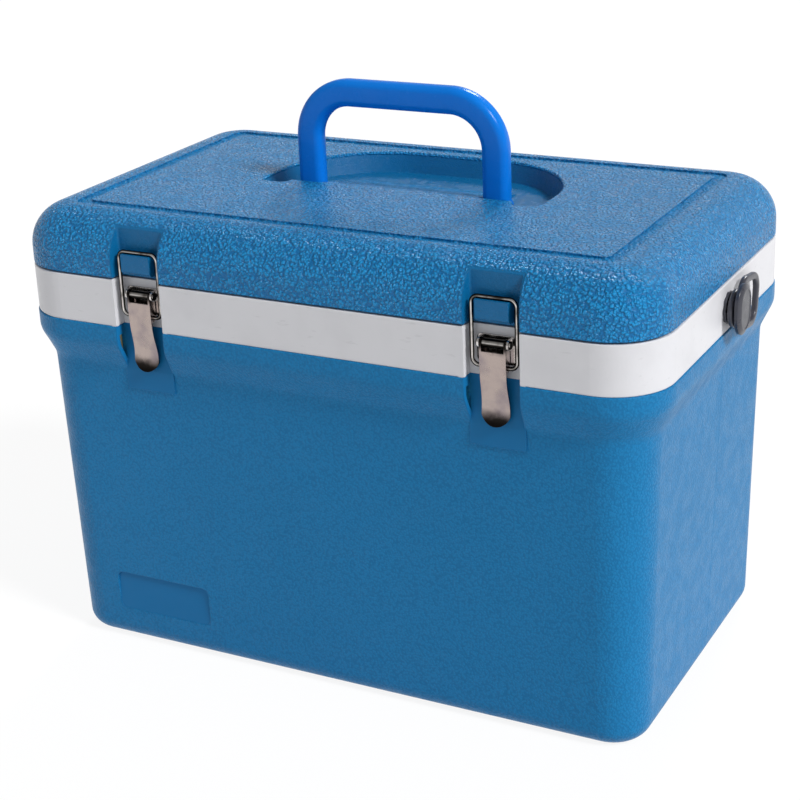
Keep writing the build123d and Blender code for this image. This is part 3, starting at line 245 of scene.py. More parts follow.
# ---------------------------------------------------------------- zones of the skins
@dataclass(frozen=True)
class SkinZones:
    """Where the mould's skin is polished instead of grained, on the +X half unless stated otherwise."""

    latch_x: float = 117 * MM
    pocket_half: float = 17.4 * MM
    pocket_inner_y: float = -115 * MM
    pocket_foot: float = 183.9 * MM
    recess_half_x: float = 97.5 * MM
    recess_front: float = -16.5 * MM
    recess_rear: float = 86.5 * MM
    sink: float = 1.6 * MM
    ramp_half_x: float = 54.4 * MM
    ramp_front: float = -4.4 * MM
    ramp_rear: float = 52.1 * MM
    floor_drop: float = 12.9 * MM
    label_x: float = -126 * MM
    label_z: float = 36.5 * MM
    label_half_x: float = 34.7 * MM
    label_half_z: float = 13.0 * MM
    beyond: float = 100 * MM

    def pocket(self) -> Corners:
        """The latch pocket with the pad at its foot, up through the lid's front."""
        left, right = self.latch_x - self.pocket_half, self.latch_x + self.pocket_half
        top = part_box("lid_shell")[1].z + self.beyond
        return (left, self.pocket_inner_y - self.beyond, self.pocket_foot), (right, self.pocket_inner_y, top)

    def recess(self) -> Corners:
        """The handle's recess, under the rounding of its mouth."""
        low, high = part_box("lid_shell")
        outer = (self.recess_half_x, self.recess_rear, high.z - self.sink)
        return (-self.recess_half_x, self.recess_front, low.z), outer

    def ramp(self) -> Corners:
        """The grained ramp between the handle's legs."""
        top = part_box("lid_shell")[1].z
        outer = (self.ramp_half_x, self.ramp_rear, top)
        return (-self.ramp_half_x, self.ramp_front, top - self.floor_drop), outer

    def label(self) -> Corners:
        """The sunk label panel on the front, in full coordinates."""
        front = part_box("outer_shell")[0].y
        low = (self.label_x - self.label_half_x, front, self.label_z - self.label_half_z)
        return low, (self.label_x + self.label_half_x, 0.0, self.label_z + self.label_half_z)


# ---------------------------------------------------------------- finishes
@dataclass(frozen=True)
class GrainedPolyethylene:
    """High-density polyethylene from an etched mould: waxy, half matt, with a leather grain.

    Its islands are painted lighter, a painted highlight, and its creases darker, a painted shade; the bumps also
    catch real highlights from the gloss. Recesses, pockets and catches are polished in the mould, so they show the
    plain colour. Fine pits between the islands break up the sheen, and slow drifts of tone and polish keep the broad
    walls from looking printed.
    """

    name: str
    polished: tuple[Corners, ...] = ()
    polished_mirrored: tuple[Corners, ...] = ()
    grained_again: tuple[Corners, ...] = ()
    # Painted highlight on the islands and painted shade in the creases, over the plastic's own blue.
    island_colour: str = "1F97D9"
    crease_colour: str = "0F6BA7"
    plain_colour: str = "0C699F"
    roughness: float = 0.26
    gloss: float = 0.24
    island: float = 1.9 * MM
    rise: float = 1.0 * MM
    pits_per_island: float = 3.2
    pit_share: float = 0.12
    drift: float = 90 * MM
    drift_values: Pair = (0.985, 1.015)
    polish_patch: float = 11 * MM
    polish_range: Pair = (-0.04, 0.06)
    soft_edge: float = 0.7 * MM

    def etched(self, tree: Tree, point: Socket) -> Socket:
        """How much of the grain is there: 1 on the grained skin and 0 on the polished zones."""
        folded = mirrored(tree, point)
        zones = [(point, zone) for zone in self.polished] + [(folded, zone) for zone in self.polished_mirrored]
        masks = [box_mask(tree, place, zone) for place, zone in zones]
        bare = masks[0]
        for mask in masks[1:]:
            bare = add_node(tree, MATH, {"operation": "MAXIMUM"}, {0: bare, 1: mask})
        for zone in self.grained_again:
            inside = box_mask(tree, folded, zone)
            bare = add_node(tree, MATH, {"operation": "SUBTRACT", "use_clamp": True}, {0: bare, 1: inside})
        return add_node(tree, MATH, {"operation": "SUBTRACT", 0: 1.0}, {1: bare})

    def make(self) -> bpy.types.Material:
        """Builds the material."""
        material, tree, point = new_material(self.name)
        etched = self.etched(tree, point)
        height = pebbles(tree, point, self.island)
        fine = patches(tree, point, self.island / self.pits_per_island, span=(0.3, 0.7))
        relief = add_node(tree, MATH, {"operation": "MULTIPLY"}, {0: height, 1: etched})
        # The height paints the islands lighter and the creases darker: painted highlight and painted shade.
        painted_relief_shading = {6: linear(self.crease_colour), 7: linear(self.island_colour)}
        body = add_node(tree, MIX, {"data_type": "RGBA"} | painted_relief_shading, {0: height}, out=2)
        skin = add_node(tree, MIX, {"data_type": "RGBA", 6: linear(self.plain_colour)}, {0: etched, 7: body}, out=2)
        shade = patches(tree, point, self.drift, to=self.drift_values)
        tint = add_node(tree, "ShaderNodeHueSaturation", links={"Color": skin, "Value": shade})
        low, high = (self.roughness + step for step in self.polish_range)
        rough = patches(tree, point, self.polish_patch, to=(low, high))
        rounded = add_node(tree, BEVEL, {"samples": 4, "Radius": self.soft_edge})
        pitted = add_node(tree, BUMP, {"Distance": self.rise * self.pit_share}, {"Height": fine, "Normal": rounded})
        grained = add_node(tree, BUMP, {"Distance": self.rise}, {"Height": relief, "Normal": pitted})
        settings = {"IOR": 1.5, "Specular IOR Level": self.gloss}
        close_material(tree, settings, {"Base Color": tint, "Roughness": rough, "Normal": grained})
        return material


@dataclass(frozen=True)
class MouldedPlastic:
    """A smooth injection-moulded plastic: even colour, a faint flow waviness and fine handling scratches.

    The waviness makes highlights wander a little, and the scratches break them up.
    """

    name: str
    colour: str
    worn: str
    roughness: float
    gloss: float = 0.5
    wear_patch: float = 35 * MM
    wear_share: float = 0.3
    scuff_patch: float = 4 * MM
    scuff_share: float = 0.5
    polish_patch: float = 9 * MM
    polish_range: Pair = (-0.03, 0.06)
    flow_patch: float = 16 * MM
    flow_rise: float = 0.06 * MM
    scratch_width: float = 1.4 * MM
    scratch_rise: float = 0.010 * MM
    soft_edge: float = 0.5 * MM

    def make(self) -> bpy.types.Material:
        """Builds the material."""
        material, tree, point = new_material(self.name)
        wear = patches(tree, point, self.wear_patch, span=(0.45, 0.75), to=(0.0, self.wear_share))
        across = (0.35, 1.0, 1.6)
        scuff = patches(tree, point, self.scuff_patch, span=(0.64, 0.74), to=(0.0, self.scuff_share), stretch=across)
        worn = add_node(tree, MATH, {"operation": "MAXIMUM"}, {0: wear, 1: scuff})
        two = {"data_type": "RGBA", 6: linear(self.colour), 7: linear(self.worn)}
        tint = add_node(tree, MIX, two, {0: worn}, out=2)
        low, high = (self.roughness + step for step in self.polish_range)
        rough = patches(tree, point, self.polish_patch, to=(low, high))
        rounded = add_node(tree, BEVEL, {"samples": 4, "Radius": self.soft_edge})
        flow = patches(tree, point, self.flow_patch, span=(0.2, 0.8))
        waved = add_node(tree, BUMP, {"Distance": self.flow_rise}, {"Height": flow, "Normal": rounded})
        marks = patches(tree, point, self.scratch_width, stretch=(1.0, 0.15, 0.5))
        marked = add_node(tree, BUMP, {"Distance": self.scratch_rise}, {"Height": marks, "Normal": waved})
        settings = {"IOR": 1.5, "Specular IOR Level": self.gloss}
        close_material(tree, settings, {"Base Color": tint, "Roughness": rough, "Normal": marked})
        return material


@dataclass(frozen=True)
class NickelPlate:
    """Nickel on steel: a warm grey mirror, softened by barrel polishing and fingerprints.

    Fine lines along the strip stretch the highlights, and duller blots show where it has been handled. A wire can
    get a painted highlight on the side that faces one given direction and painted shade at its flanks. A strip can be
    painted dark past certain heights, a painted shade that stands in for the dark reflection at its curl and its tip.
    """

    name: str
    colour: str
    dull: str
    roughness: float = 0.17
    soft_edge: float = 0.3 * MM
    # Painted shade at a wire's flanks, and a painted highlight on its side that faces the given direction.
    flank: str = ""
    flank_span: Pair = (0.02, 0.19)
    rubbed_from: Triple = (0.38, -0.87, 0.31)
    # Painted shade past given heights, standing in for the dark reflection at a bent strip's curl and tip.
    tempered: tuple[Pair, ...] = ()
    tempered_colour: str = "24211F"
    temper_patch: float = 6 * MM
    temper_wander: float = 0.8 * MM
    blot: float = 8 * MM
    line_width: float = 0.6 * MM
    line_rise: float = 0.004 * MM
    polish_patch: float = 8 * MM
    print_roughness: float = 0.12

    def make(self) -> bpy.types.Material:
        """Builds the material."""
        material, tree, point = new_material(self.name)
        blots = patches(tree, point, self.blot, span=(0.4, 0.7))
        rounded = add_node(tree, BEVEL, {"samples": 4, "Radius": self.soft_edge})
        lines = patches(tree, point, self.line_width, stretch=(1.0, 1.0, 0.05))
        brushed = add_node(tree, BUMP, {"Distance": self.line_rise}, {"Height": lines, "Normal": rounded})
        two = {"data_type": "RGBA", 6: linear(self.colour), 7: linear(self.dull)}
        colour = add_node(tree, MIX, two, {0: blots}, out=2)
        # Painted highlight where the normal faces the given direction, and painted shade, nearly black, at the
        # flanks.
        if self.flank:
            outwards = add_node(tree, "ShaderNodeTexCoord", out="Normal")
            settings = {"operation": "DOT_PRODUCT", 1: self.rubbed_from}
            facing = add_node(tree, VECTOR_MATH, settings, {0: outwards}, out="Value")
            near, far = (1 - turned for turned in self.flank_span)
            ends = {"From Min": far, "From Max": near, "To Min": 1.0, "To Max": 0.0}
            share = add_node(tree, MAP_RANGE, {"interpolation_type": "SMOOTHSTEP"} | ends, {"Value": facing})
            dark = {"data_type": "RGBA", 7: linear(self.flank)}
            colour = add_node(tree, MIX, dark, {0: share, 6: colour}, out=2)
        # Painted shade past the given heights, with a wandering edge, for the dark reflection at the curl and the
        # tip.
        height = add_node(tree, "ShaderNodeSeparateXYZ", links={0: point}, out=2)
        ends = (-self.temper_wander, self.temper_wander)
        wander = patches(tree, point, self.temper_patch, span=(0.3, 0.7), to=ends)
        level = add_node(tree, MATH, {"operation": "ADD"}, {0: height, 1: wander})
        for low, high in self.tempered:
            span = {"interpolation_type": "SMOOTHSTEP", "From Min": low, "From Max": high}
            share = add_node(tree, MAP_RANGE, span, {"Value": level})
            dark = {"data_type": "RGBA", 6: linear(self.tempered_colour)}
            colour = add_node(tree, MIX, dark, {0: share, 7: colour}, out=2)
        ends = (self.roughness, self.roughness + self.print_roughness)
        rough = patches(tree, point, self.polish_patch, span=(0.4, 0.7), to=ends)
        close_material(tree, {"Metallic": 1.0}, {"Base Color": colour, "Roughness": rough, "Normal": brushed})
        return material


@dataclass(frozen=True)
class CellularFoam:
    """Rigid polyurethane or soft sponge: a matt skin of small closed cells, with a slightly uneven colour."""

    name: str
    colour: str
    shade: str
    cell: float
    roughness: float = 0.85
    gloss: float = 0.25
    drift: float = 30 * MM
    pit_depth: float = 0.15 * MM

    def make(self) -> bpy.types.Material:
        """Builds the material."""
        material, tree, point = new_material(self.name)
        settings = {"feature": "SMOOTH_F1", "Scale": 1 / self.cell}
        cells = add_node(tree, VORONOI, settings, {"Vector": point}, out="Distance")
        drift = patches(tree, point, self.drift)
        pits = add_node(tree, MATH, {"operation": "MULTIPLY"}, {0: cells, 1: drift})
        two = {"data_type": "RGBA", 6: linear(self.colour), 7: linear(self.shade)}
        tint = add_node(tree, MIX, two, {0: pits}, out=2)
        pitted = add_node(tree, BUMP, {"Distance": self.pit_depth}, {"Height": cells})
        matt = {"Roughness": self.roughness, "Specular IOR Level": self.gloss}
        close_material(tree, matt, {"Base Color": tint, "Normal": pitted})
        return material


Finish = GrainedPolyethylene | MouldedPlastic | NickelPlate | CellularFoam

ZONES = SkinZones()
# The lid: polyethylene blow-moulded against a deep leather etching; its pebbles are painted bright, a painted
# highlight, and its creases darker, a painted shade.
LID_SKIN = GrainedPolyethylene(
    "pebbled_polyethylene_lid",
    polished_mirrored=(ZONES.pocket(), ZONES.recess()),
    grained_again=(ZONES.ramp(),),
)
# The box: the same polyethylene from a finer and shallower etching, so its walls look even and half matt; its pebbles
# are painted a little lighter and its creases a little darker, as painted highlight and shade.
SHELL_SKIN = GrainedPolyethylene(
    "fine_grained_polyethylene_shell",
    polished=(ZONES.label(),),
    polished_mirrored=(ZONES.pocket(),),
    island_colour="1C7FB8",
    crease_colour="1872A9",
    plain_colour="1872AB",
    gloss=0.14,
    roughness=0.36,
    island=1.5 * MM,
    rise=0.15 * MM,
)
# The liner, its rim band and the lid's inner plate: white polyethylene, plain moulded, with a soft satin sheen.
LINER_PLASTIC = MouldedPlastic("satin_white_polyethylene", "DFDFE3", "CDCDD1", 0.36, gloss=0.3, soft_edge=0.7 * MM)
# The handle: polypropylene from a polished mould, a deeper and clearer blue with one calm highlight.
HANDLE_PLASTIC = MouldedPlastic("gloss_blue_polypropylene", "0A7AE0", "1882E4", 0.22, gloss=0.14, soft_edge=0.8 * MM)
# The strap studs and rings: moulded nylon, nearly black, whose small bevels each catch a thin line of light.
LUG_NYLON = MouldedPlastic("dark_grey_nylon", "3A3B44", "50525C", 0.3, soft_edge=0.3 * MM)
# The water packs: natural polyethylene, a milky skin that takes the tint of the water behind it.
PACK_PLASTIC = MouldedPlastic("frosted_polyethylene_pack", "C9DCE4", "B4CBD6", 0.4, soft_edge=MM)
# The packs' caps: polypropylene coloured all through, half matt, darker than the box around them.
CAP_PLASTIC = MouldedPlastic("blue_polypropylene_cap", "1B5FA8", "2A6DB4", 0.4)
# The latch bases, the hinges and all screws: nickel over pressed steel, a pale mirror that is a little cloudy.
BRIGHT_NICKEL = NickelPlate("bright_nickel_plate", "DAD6D4", "BEB9B6")
# The levers: strip that was bent after plating, a warmer grey, painted dark at its curl and towards its tip: a
# painted shade that stands in for the dark reflection there.
LEVER_NICKEL = NickelPlate(
    "curled_nickel_strip",
    "AFA19B",
    "93878A",
    tempered=((201.5 * MM, 209 * MM), (246 * MM, 240.5 * MM)),
    blot=14 * MM,
)
# The bails and rivets: drawn wire with duller blots, a painted highlight along the side that faces front, right and
# up, and painted shade, nearly black, at its flanks.
DULL_NICKEL_PAINTED_SHADE = NickelPlate("dark_nickel_wire", "DDD8D4", "6E6863", roughness=0.1, flank="14120F", blot=7 * MM)
# The insulation: polyurethane foamed in place, a dull straw yellow with small closed cells.
CORE_FOAM = CellularFoam("rigid_polyurethane_foam", "DCCB94", "C4AE74", 0.6 * MM)
# The lid's seal: sponge rubber, a matt grey skin with fine pores.
SEAL_FOAM = CellularFoam("sponge_rubber", "8F9296", "75787C", 0.35 * MM, roughness=0.9)


class Dresser:
    """Makes each finish once and gives it to the pieces."""

    def __init__(self) -> None:
        """Starts with no material made."""
        self.made: dict[str, bpy.types.Material] = {}

    def material(self, finish: Finish) -> bpy.types.Material:
        """The finish's material, made the first time that it is asked for.

        Args:
            finish: one of the finishes above.

        Returns:
            Its material.
        """
        if finish.name not in self.made:
            self.made[finish.name] = finish.make()
        return self.made[finish.name]

    def coat(self, piece: bpy.types.Object, finish: Finish) -> None:
        """Covers one object with a finish.

        Args:
            piece: the object.
            finish: the finish.
        """
        piece.data.materials.clear()
        piece.data.materials.append(self.material(finish))
        LOG.info("%s is finished in %s", piece.name, finish.name)

    def node(self, name: str, finish: Finish) -> None:
        """Covers one of the frame's nodes with a finish.

        Args:
            name: the node's name.
            finish: the finish.
        """
        self.coat(frame["nodes"][name], finish)


# ---------------------------------------------------------------- surfaces
def grid_faces(rows: int, columns: int, wrap_rows: bool, wrap_columns: bool) -> np.ndarray:
    """The four-cornered faces between neighbours of a grid of points.

    Args:
        rows: how many rows of points there are.
        columns: how many points a row has.
        wrap_rows: whether the last row joins the first.
        wrap_columns: whether each row is a ring.

    Returns:
        Point numbers, four to a face. With rows going up and columns going round to the left, they face outwards.
    """
    row = np.arange(rows if wrap_rows else rows - 1)[:, None]
    column = np.arange(columns if wrap_columns else columns - 1)[None, :]
    next_row, next_column = (row + 1) % rows, (column + 1) % columns
    corners = (row * columns + column, row * columns + next_column)
    above = (next_row * columns + next_column, next_row * columns + column)
    return np.stack([*corners, *above], axis=-1).reshape(-1, 4)


def rounded_rectangle(half: Pair, corner: float, steps: int) -> tuple[np.ndarray, np.ndarray]:
    """A rectangle about the origin with rounded corners: four quarter circles, joined by straight runs.

    Args:
        half: half of each side.
        corner: the corners' radius.
        steps: how many points a corner has.

    Returns:
        Points, once round to the left, and the outward unit vector at each.
    """
    quarter = np.linspace(0, np.pi / 2, steps)
    turn = np.concatenate([quarter + k * np.pi / 2 for k in range(4)])
    outwards = np.stack([np.cos(turn), np.sin(turn)], axis=-1)
    signs = np.repeat(np.array([(1, 1), (-1, 1), (-1, -1), (1, -1)]), steps, axis=0)
    return signs * (np.array(half) - corner) + corner * outwards, outwards


def soft_square(steps: int, squareness: float) -> np.ndarray:
    """A square with soft corners: the cosine and the sine, each raised to a small power with its sign kept.

    Args:
        steps: how many points it has.
        squareness: the power, from 1 for a circle towards 0 for a square.

    Returns:
        Two rows, across and up, each from -1 to 1.
    """
    angle = np.linspace(0, 2 * np.pi, steps, endpoint=False)
    circle = np.stack([np.cos(angle), np.sin(angle)])
    return np.sign(circle) * np.abs(circle) ** squareness


def make_piece(
    name: str, grids: list[np.ndarray], wrap_rows: bool = False, wrap_columns: bool = True
) -> bpy.types.Object:
    """Makes one object from grids of points.

    Args:
        name: the object's name.
        grids: arrays of shape (rows, columns, 3), all alike in shape.
        wrap_rows: whether the last row joins the first.
        wrap_columns: whether each row is a ring. The first and last ring are then closed, unless rows wrap.

    Returns:
        The object, smooth where its faces meet gently.
    """
    rows, columns, _ = grids[0].shape
    faces = grid_faces(rows, columns, wrap_rows, wrap_columns)
    points = np.concatenate([grid.reshape(-1, 3) for grid in grids])
    starts = np.arange(len(grids))[:, None, None] * rows * columns
    polygons = (faces[None] + starts).reshape(-1, 4).tolist()
    if wrap_columns and not wrap_rows:
        ring = np.arange(columns) + starts[:, 0]
        polygons += ring[:, ::-1].tolist() + (ring + (rows - 1) * columns).tolist()
    mesh = bpy.data.meshes.new(name)
    mesh.from_pydata(points.tolist(), [], polygons)
    mesh.update()
    mesh.polygons.foreach_set("use_smooth", np.ones(len(mesh.polygons), dtype=bool))
    mesh.set_sharp_from_angle(angle=SMOOTH_UNDER)
    piece = bpy.data.objects.new(name, mesh)
    bpy.context.collection.objects.link(piece)
    return piece


def body_of(node: str) -> str:
    """The body that a node of the frame belongs to."""
    return next(body for body, nodes in frame["record"]["behaviour"]["bodies"].items() if node in nodes)


def swap(piece: bpy.types.Object, node: str) -> None:
    """Lets a modelled piece stand for a node of the frame: it hides the node and rides the node's body.

    Args:
        piece: the modelled piece.
        node: the node's name.
    """
    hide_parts(node)
    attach(piece, body_of(node))
    LOG.info("%s stands for %s", piece.name, node)


@dataclass(frozen=True)
class Screw:
    """A countersunk screw with a cross recess, its head flush with the sheet."""

    head_radius: float = 2.7 * MM
    shank_radius: float = 1.4 * MM
    head_height: float = 1.0 * MM
    rim: float = 0.12 * MM
    cross_reach: float = 1.55 * MM
    cross_half: float = 0.32 * MM
    cross_depth: float = 0.75 * MM
    cross_ramp: float = 0.2 * MM
    around: int = 72
    flat_rings: int = 22

    def grid(self, x: float, face_y: float, z: float, facing: int, length: float) -> np.ndarray:
        """The screw's surface as rings, from the foot of the shank to the middle of the head.

        The cross is the nearer of two slots: |u| or |v| under half a slot's width, within the cross's reach. Its
        depth is ramped over a fifth of a millimetre at the sides and at the ends.

        Args:
            x: the screw's middle.
            face_y: the plane of the head's face.
            z: the screw's middle.
            facing: the way that the head faces along Y, 1 or -1.
            length: the screw's full length.

        Returns:
            Points, ring by ring.
        """
        cone_foot = self.head_radius - self.head_height
        stem_radii = [self.shank_radius, self.shank_radius, cone_foot, self.head_radius]
        stem_heights = [-length, -self.head_height, -self.head_height, -self.rim]
        flat = np.linspace(self.head_radius - self.rim, self.rim, self.flat_rings)
        radii = np.concatenate([stem_radii, flat])[:, None]
        heights = np.concatenate([stem_heights, np.zeros(self.flat_rings)])[:, None]
        turn = np.linspace(0, 2 * np.pi, self.around, endpoint=False)[None, :]
        u, v = radii * np.cos(turn), radii * np.sin(turn)
        beside = self.cross_half - np.minimum(np.abs(u), np.abs(v))
        within = self.cross_reach - np.hypot(u, v)
        share = np.clip(beside / self.cross_ramp, 0, 1) * np.clip(within / self.cross_ramp, 0, 1)
        out = heights - share * self.cross_depth * (heights >= 0)
        return np.stack([x - facing * u, face_y + facing * out, z + v], axis=-1)


# ---------------------------------------------------------------- sub-assemblies
@dataclass(frozen=True)
class InsulatedBox:
    """The grained outer shell, the white liner with its band, the foam and the packs inside.

    The caps' profile is (share of the radius, share of the height, share of the flutes' depth), from the foot up.
    """

    line_y: Pair = (11.5 * MM, 18.5 * MM)
    line_z: Pair = (14 * MM, 212 * MM)
    line_width: float = 0.6 * MM
    line_rise: float = 0.13 * MM
    line_sink: float = 0.03 * MM
    line_steps: int = 120
    cap_radius: float = 11 * MM
    cap_flutes: int = 30
    flute_depth: float = 0.4 * MM
    cap_profile: tuple[Triple, ...] = (
        (1.0, 0.0, 1.0),
        (1.0, 0.8, 1.0),
        (0.97, 0.92, 0.6),
        (0.9, 0.99, 0.1),
        (0.84, 1.0, 0.0),
        (0.76, 0.93, 0.0),
        (0.04, 0.91, 0.0),
    )

    def build(self, dresser: Dresser) -> None:
        """Models the parting lines and the packs' caps."""
        for side in Side:
            self.parting_line(side, dresser)
        self.caps(dresser)

    def parting_line(self, side: Side, dresser: Dresser) -> None:
        """Lays the fine ridge that the mould's two halves leave down one end of the shell.

        The ridge follows the wall, which is found by looking inwards at each height. Its section is a low arch:
        the rise times 1 - t squared, with t from -1 to 1 across it.
        """
        shell = frame["nodes"]["outer_shell"]
        heights = np.linspace(*self.line_z, self.line_steps)
        across = np.interp(heights, self.line_z, self.line_y)
        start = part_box("outer_shell")[1].x * 1.5 * side.value
        rays = [(Vector((start, y, z)), Vector((-side.value, 0, 0))) for y, z in zip(across, heights)]
        wall = np.array([shell.ray_cast(*ray)[1].x for ray in rays])
        arch = np.linspace(-1, 1, 9)[None, :]
        y = across[:, None] + side.value * self.line_width / 2 * arch
        x = wall[:, None] + side.value * (self.line_rise * (1 - arch**2) - self.line_sink)
        z = np.broadcast_to(heights[:, None], x.shape)
        piece = make_piece(f"parting_line_{side.word}", [np.stack([x, y, z], axis=-1)], wrap_columns=False)
        dresser.coat(piece, SHELL_SKIN)
        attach(piece, "box")

    def caps(self, dresser: Dresser) -> None:
        """Makes the packs' screw caps: a fluted skirt, a rounded top edge and a shallow dish.

        The skirt's radius is the cap's, less half the flutes' depth times 1 + cos(flutes x turn).
        """
        low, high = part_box("ice_pack_caps")
        profile = np.array(self.cap_profile)
        turn = np.linspace(0, 2 * np.pi, self.cap_flutes * 8, endpoint=False)[None, :]
        flute = self.flute_depth / 2 * (1 + np.cos(self.cap_flutes * turn))
        radii = profile[:, 0, None] * self.cap_radius - profile[:, 2, None] * flute
        z = np.broadcast_to(low.z + profile[:, 1, None] * (high.z - low.z), radii.shape)
        middles = [
            (x, y)
            for x in (low.x + self.cap_radius, high.x - self.cap_radius)
            for y in (low.y + self.cap_radius, high.y - self.cap_radius)
        ]
        grids = [np.stack([x + radii * np.cos(turn), y + radii * np.sin(turn), z], axis=-1) for x, y in middles]
        piece = make_piece("ice_pack_caps_fluted", grids)
        dresser.coat(piece, CAP_PLASTIC)
        swap(piece, "ice_pack_caps")

    def dress(self, dresser: Dresser) -> None:
        """Finishes the shell, the liner, the foam and the packs."""
        dresser.node("outer_shell", SHELL_SKIN)
        dresser.node("inner_liner", LINER_PLASTIC)
        dresser.node("body_insulation", CORE_FOAM)
        for row in ("front", "rear"):
            for side in Side:
                dresser.node(f"ice_pack_{row}_{side.word}", PACK_PLASTIC)


@dataclass(frozen=True)
class Lid:
    """The pebbled lid with its foam, its white inner plate and the seal."""

    seal_width: float = 7 * MM
    seal_corner: float = 27.5 * MM
    seal_squareness: float = 0.45
    seal_dip: float = 0.5 * MM
    corner_steps: int = 24
    section_steps: int = 28

    def build(self, dresser: Dresser) -> None:
        """Models the seal as a soft strip with two lips, run round the lid's plug.

        The strip's middle line is a rounded rectangle and its section a soft square. The lower face dips in the
        middle by a squared cosine, so that it bears on two lips.
        """
        low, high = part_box("lid_gasket")
        half = (high.x - self.seal_width / 2, high.y - self.seal_width / 2)
        middle, outwards = rounded_rectangle(half, self.seal_corner, self.corner_steps)
        bar = soft_square(self.section_steps, self.seal_squareness)
        across = bar[0] * self.seal_width / 2
        dip = self.seal_dip * np.cos(np.pi * bar[0] / 2) ** 2 * (bar[1] < 0)
        up = (high.z + low.z) / 2 + bar[1] * (high.z - low.z) / 2 + dip
        plan = middle[:, None, :] + outwards[:, None, :] * across[None, :, None]
        height = np.broadcast_to(up[None, :, None], (*plan.shape[:2], 1))
        grid = np.concatenate([plan, height], axis=-1)
        piece = make_piece("lid_gasket_lipped", [grid[::-1]], wrap_rows=True)
        dresser.coat(piece, SEAL_FOAM)
        swap(piece, "lid_gasket")

    def dress(self, dresser: Dresser) -> None:
        """Finishes the lid's pieces."""
        dresser.node("lid_shell", LID_SKIN)
        dresser.node("lid_liner", LINER_PLASTIC)
        dresser.node("lid_insulation", CORE_FOAM)


@dataclass(frozen=True)
class Handle:
    """The folding grip: one bar, bent round twice, with round feet and pegs at its pivot.

    The bar is as wide as clears the recess's ramp when the grip is folded.
    """

    bar: float = 17 * MM
    outer_bend: float = 38 * MM
    edge_round: float = 4.6 * MM
    pivot_z: float = 286.5 * MM
    inset: float = 0.03 * MM
    foot_rim: float = 0.8 * MM
    peg_radius: float = 3.5 * MM
    peg_rim: float = 0.3 * MM
    peg_reach: float = 8 * MM
    platform_half_x: float = 54.4 * MM
    bend_steps: int = 40
    corner_steps: int = 8
    peg_steps: int = 48

    def path(self, half_x: float, top_z: float) -> tuple[np.ndarray, np.ndarray]:
        """The bar's middle line from the left foot to the right one, and the outward direction along it.

        Args:
            half_x: the bar's outer half width.
            top_z: the bar's top.

        Returns:
            Points and unit vectors in the XZ plane: two straight legs joined by quarter circles and a straight top.
        """
        radius = self.outer_bend - self.bar / 2
        turn = np.linspace(np.pi, np.pi / 2, self.bend_steps)
        out = np.stack([np.cos(turn), np.sin(turn)], axis=-1)
        middle = np.array([-(half_x - self.outer_bend), top_z - self.outer_bend])
        left = middle + out * radius
        foot = np.array([[left[0, 0], self.pivot_z]])
        half = np.concatenate([foot, left])
        half_out = np.concatenate([out[:1], out])
        flip = np.array([-1.0, 1.0])
        return np.concatenate([half, (half * flip)[::-1]]), np.concatenate([half_out, (half_out * flip)[::-1]])

    def rod(self, start_x: float, end_x: float, middle_y: float, radius: float, rim: float) -> np.ndarray:
        """A round bar along X, with its two rims eased.

        Args:
            start_x: one end.
            end_x: the other end, at a higher X.
            middle_y: the bar's middle.
            radius: its radius.
            rim: how much the rims are eased.

        Returns:
            Points, ring by ring.
        """
        turn = np.linspace(0, 2 * np.pi, self.peg_steps, endpoint=False)[None, :]
        radii = np.array([rim, radius - rim, radius, radius, radius - rim, rim])[:, None]
        x = np.array([start_x, start_x, start_x + rim, end_x - rim, end_x, end_x])[:, None]
        y, z = middle_y + radii * np.cos(turn), self.pivot_z + radii * np.sin(turn)
        return np.stack([np.broadcast_to(x, y.shape), y, z], axis=-1)

    def build(self, dresser: Dresser) -> None:
        """Sweeps the bar, adds its feet and pegs, and lets them stand for the frame's plain grip.

        The bar's section is a rounded rectangle, with its first axis outwards from the grip and its second along Y.
        """
        low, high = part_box("handle")
        depth = high.y - low.y
        middle_y = (high.y + low.y) / 2
        line, outwards = self.path(high.x, high.z)
        offsets, _ = rounded_rectangle((self.bar / 2, depth / 2), self.edge_round, self.corner_steps)
        plan = line[:, None, :] + outwards[:, None, :] * offsets[None, :, :1]
        y = middle_y + np.broadcast_to(offsets[None, :, 1], plan.shape[:2])
        bar = make_piece("grip_bar", [np.stack([plan[..., 0], y, plan[..., 1]], axis=-1)[:, ::-1]])
        inner = high.x - self.bar + self.inset
        foot = self.rod(inner, high.x - self.inset, middle_y, depth / 2 - self.inset, self.foot_rim)
        peg = self.rod(self.platform_half_x - self.peg_reach, inner + MM, middle_y, self.peg_radius, self.peg_rim)
        flip = np.array([-1.0, 1.0, 1.0])
        feet = make_piece("grip_feet", [foot, peg, foot[::-1] * flip, peg[::-1] * flip])
        for piece in (bar, feet):
            dresser.coat(piece, HANDLE_PLASTIC)
            swap(piece, "handle")


@dataclass(frozen=True)
class DrawLatch:
    """One draw latch: base plate, rivet, lever and wire bail."""

    side: Side

    def dress(self, dresser: Dresser) -> None:
        """Finishes the latch's pieces."""
        dresser.node(f"latch_base_{self.side.word}", BRIGHT_NICKEL)
        dresser.node(f"latch_pin_{self.side.word}", DULL_NICKEL_PAINTED_SHADE)
        dresser.node(f"latch_lever_{self.side.word}", LEVER_NICKEL)
        dresser.node(f"latch_bail_{self.side.word}", DULL_NICKEL_PAINTED_SHADE)


@dataclass(frozen=True)
class Hinge:
    """One lid hinge: two leaves and a pin."""

    side: Side

    def dress(self, dresser: Dresser) -> None:
        """Finishes the hinge's pieces."""
        for piece in ("lower_leaf", "upper_leaf", "pin"):
            dresser.node(f"hinge_{piece}_{self.side.word}", BRIGHT_NICKEL)


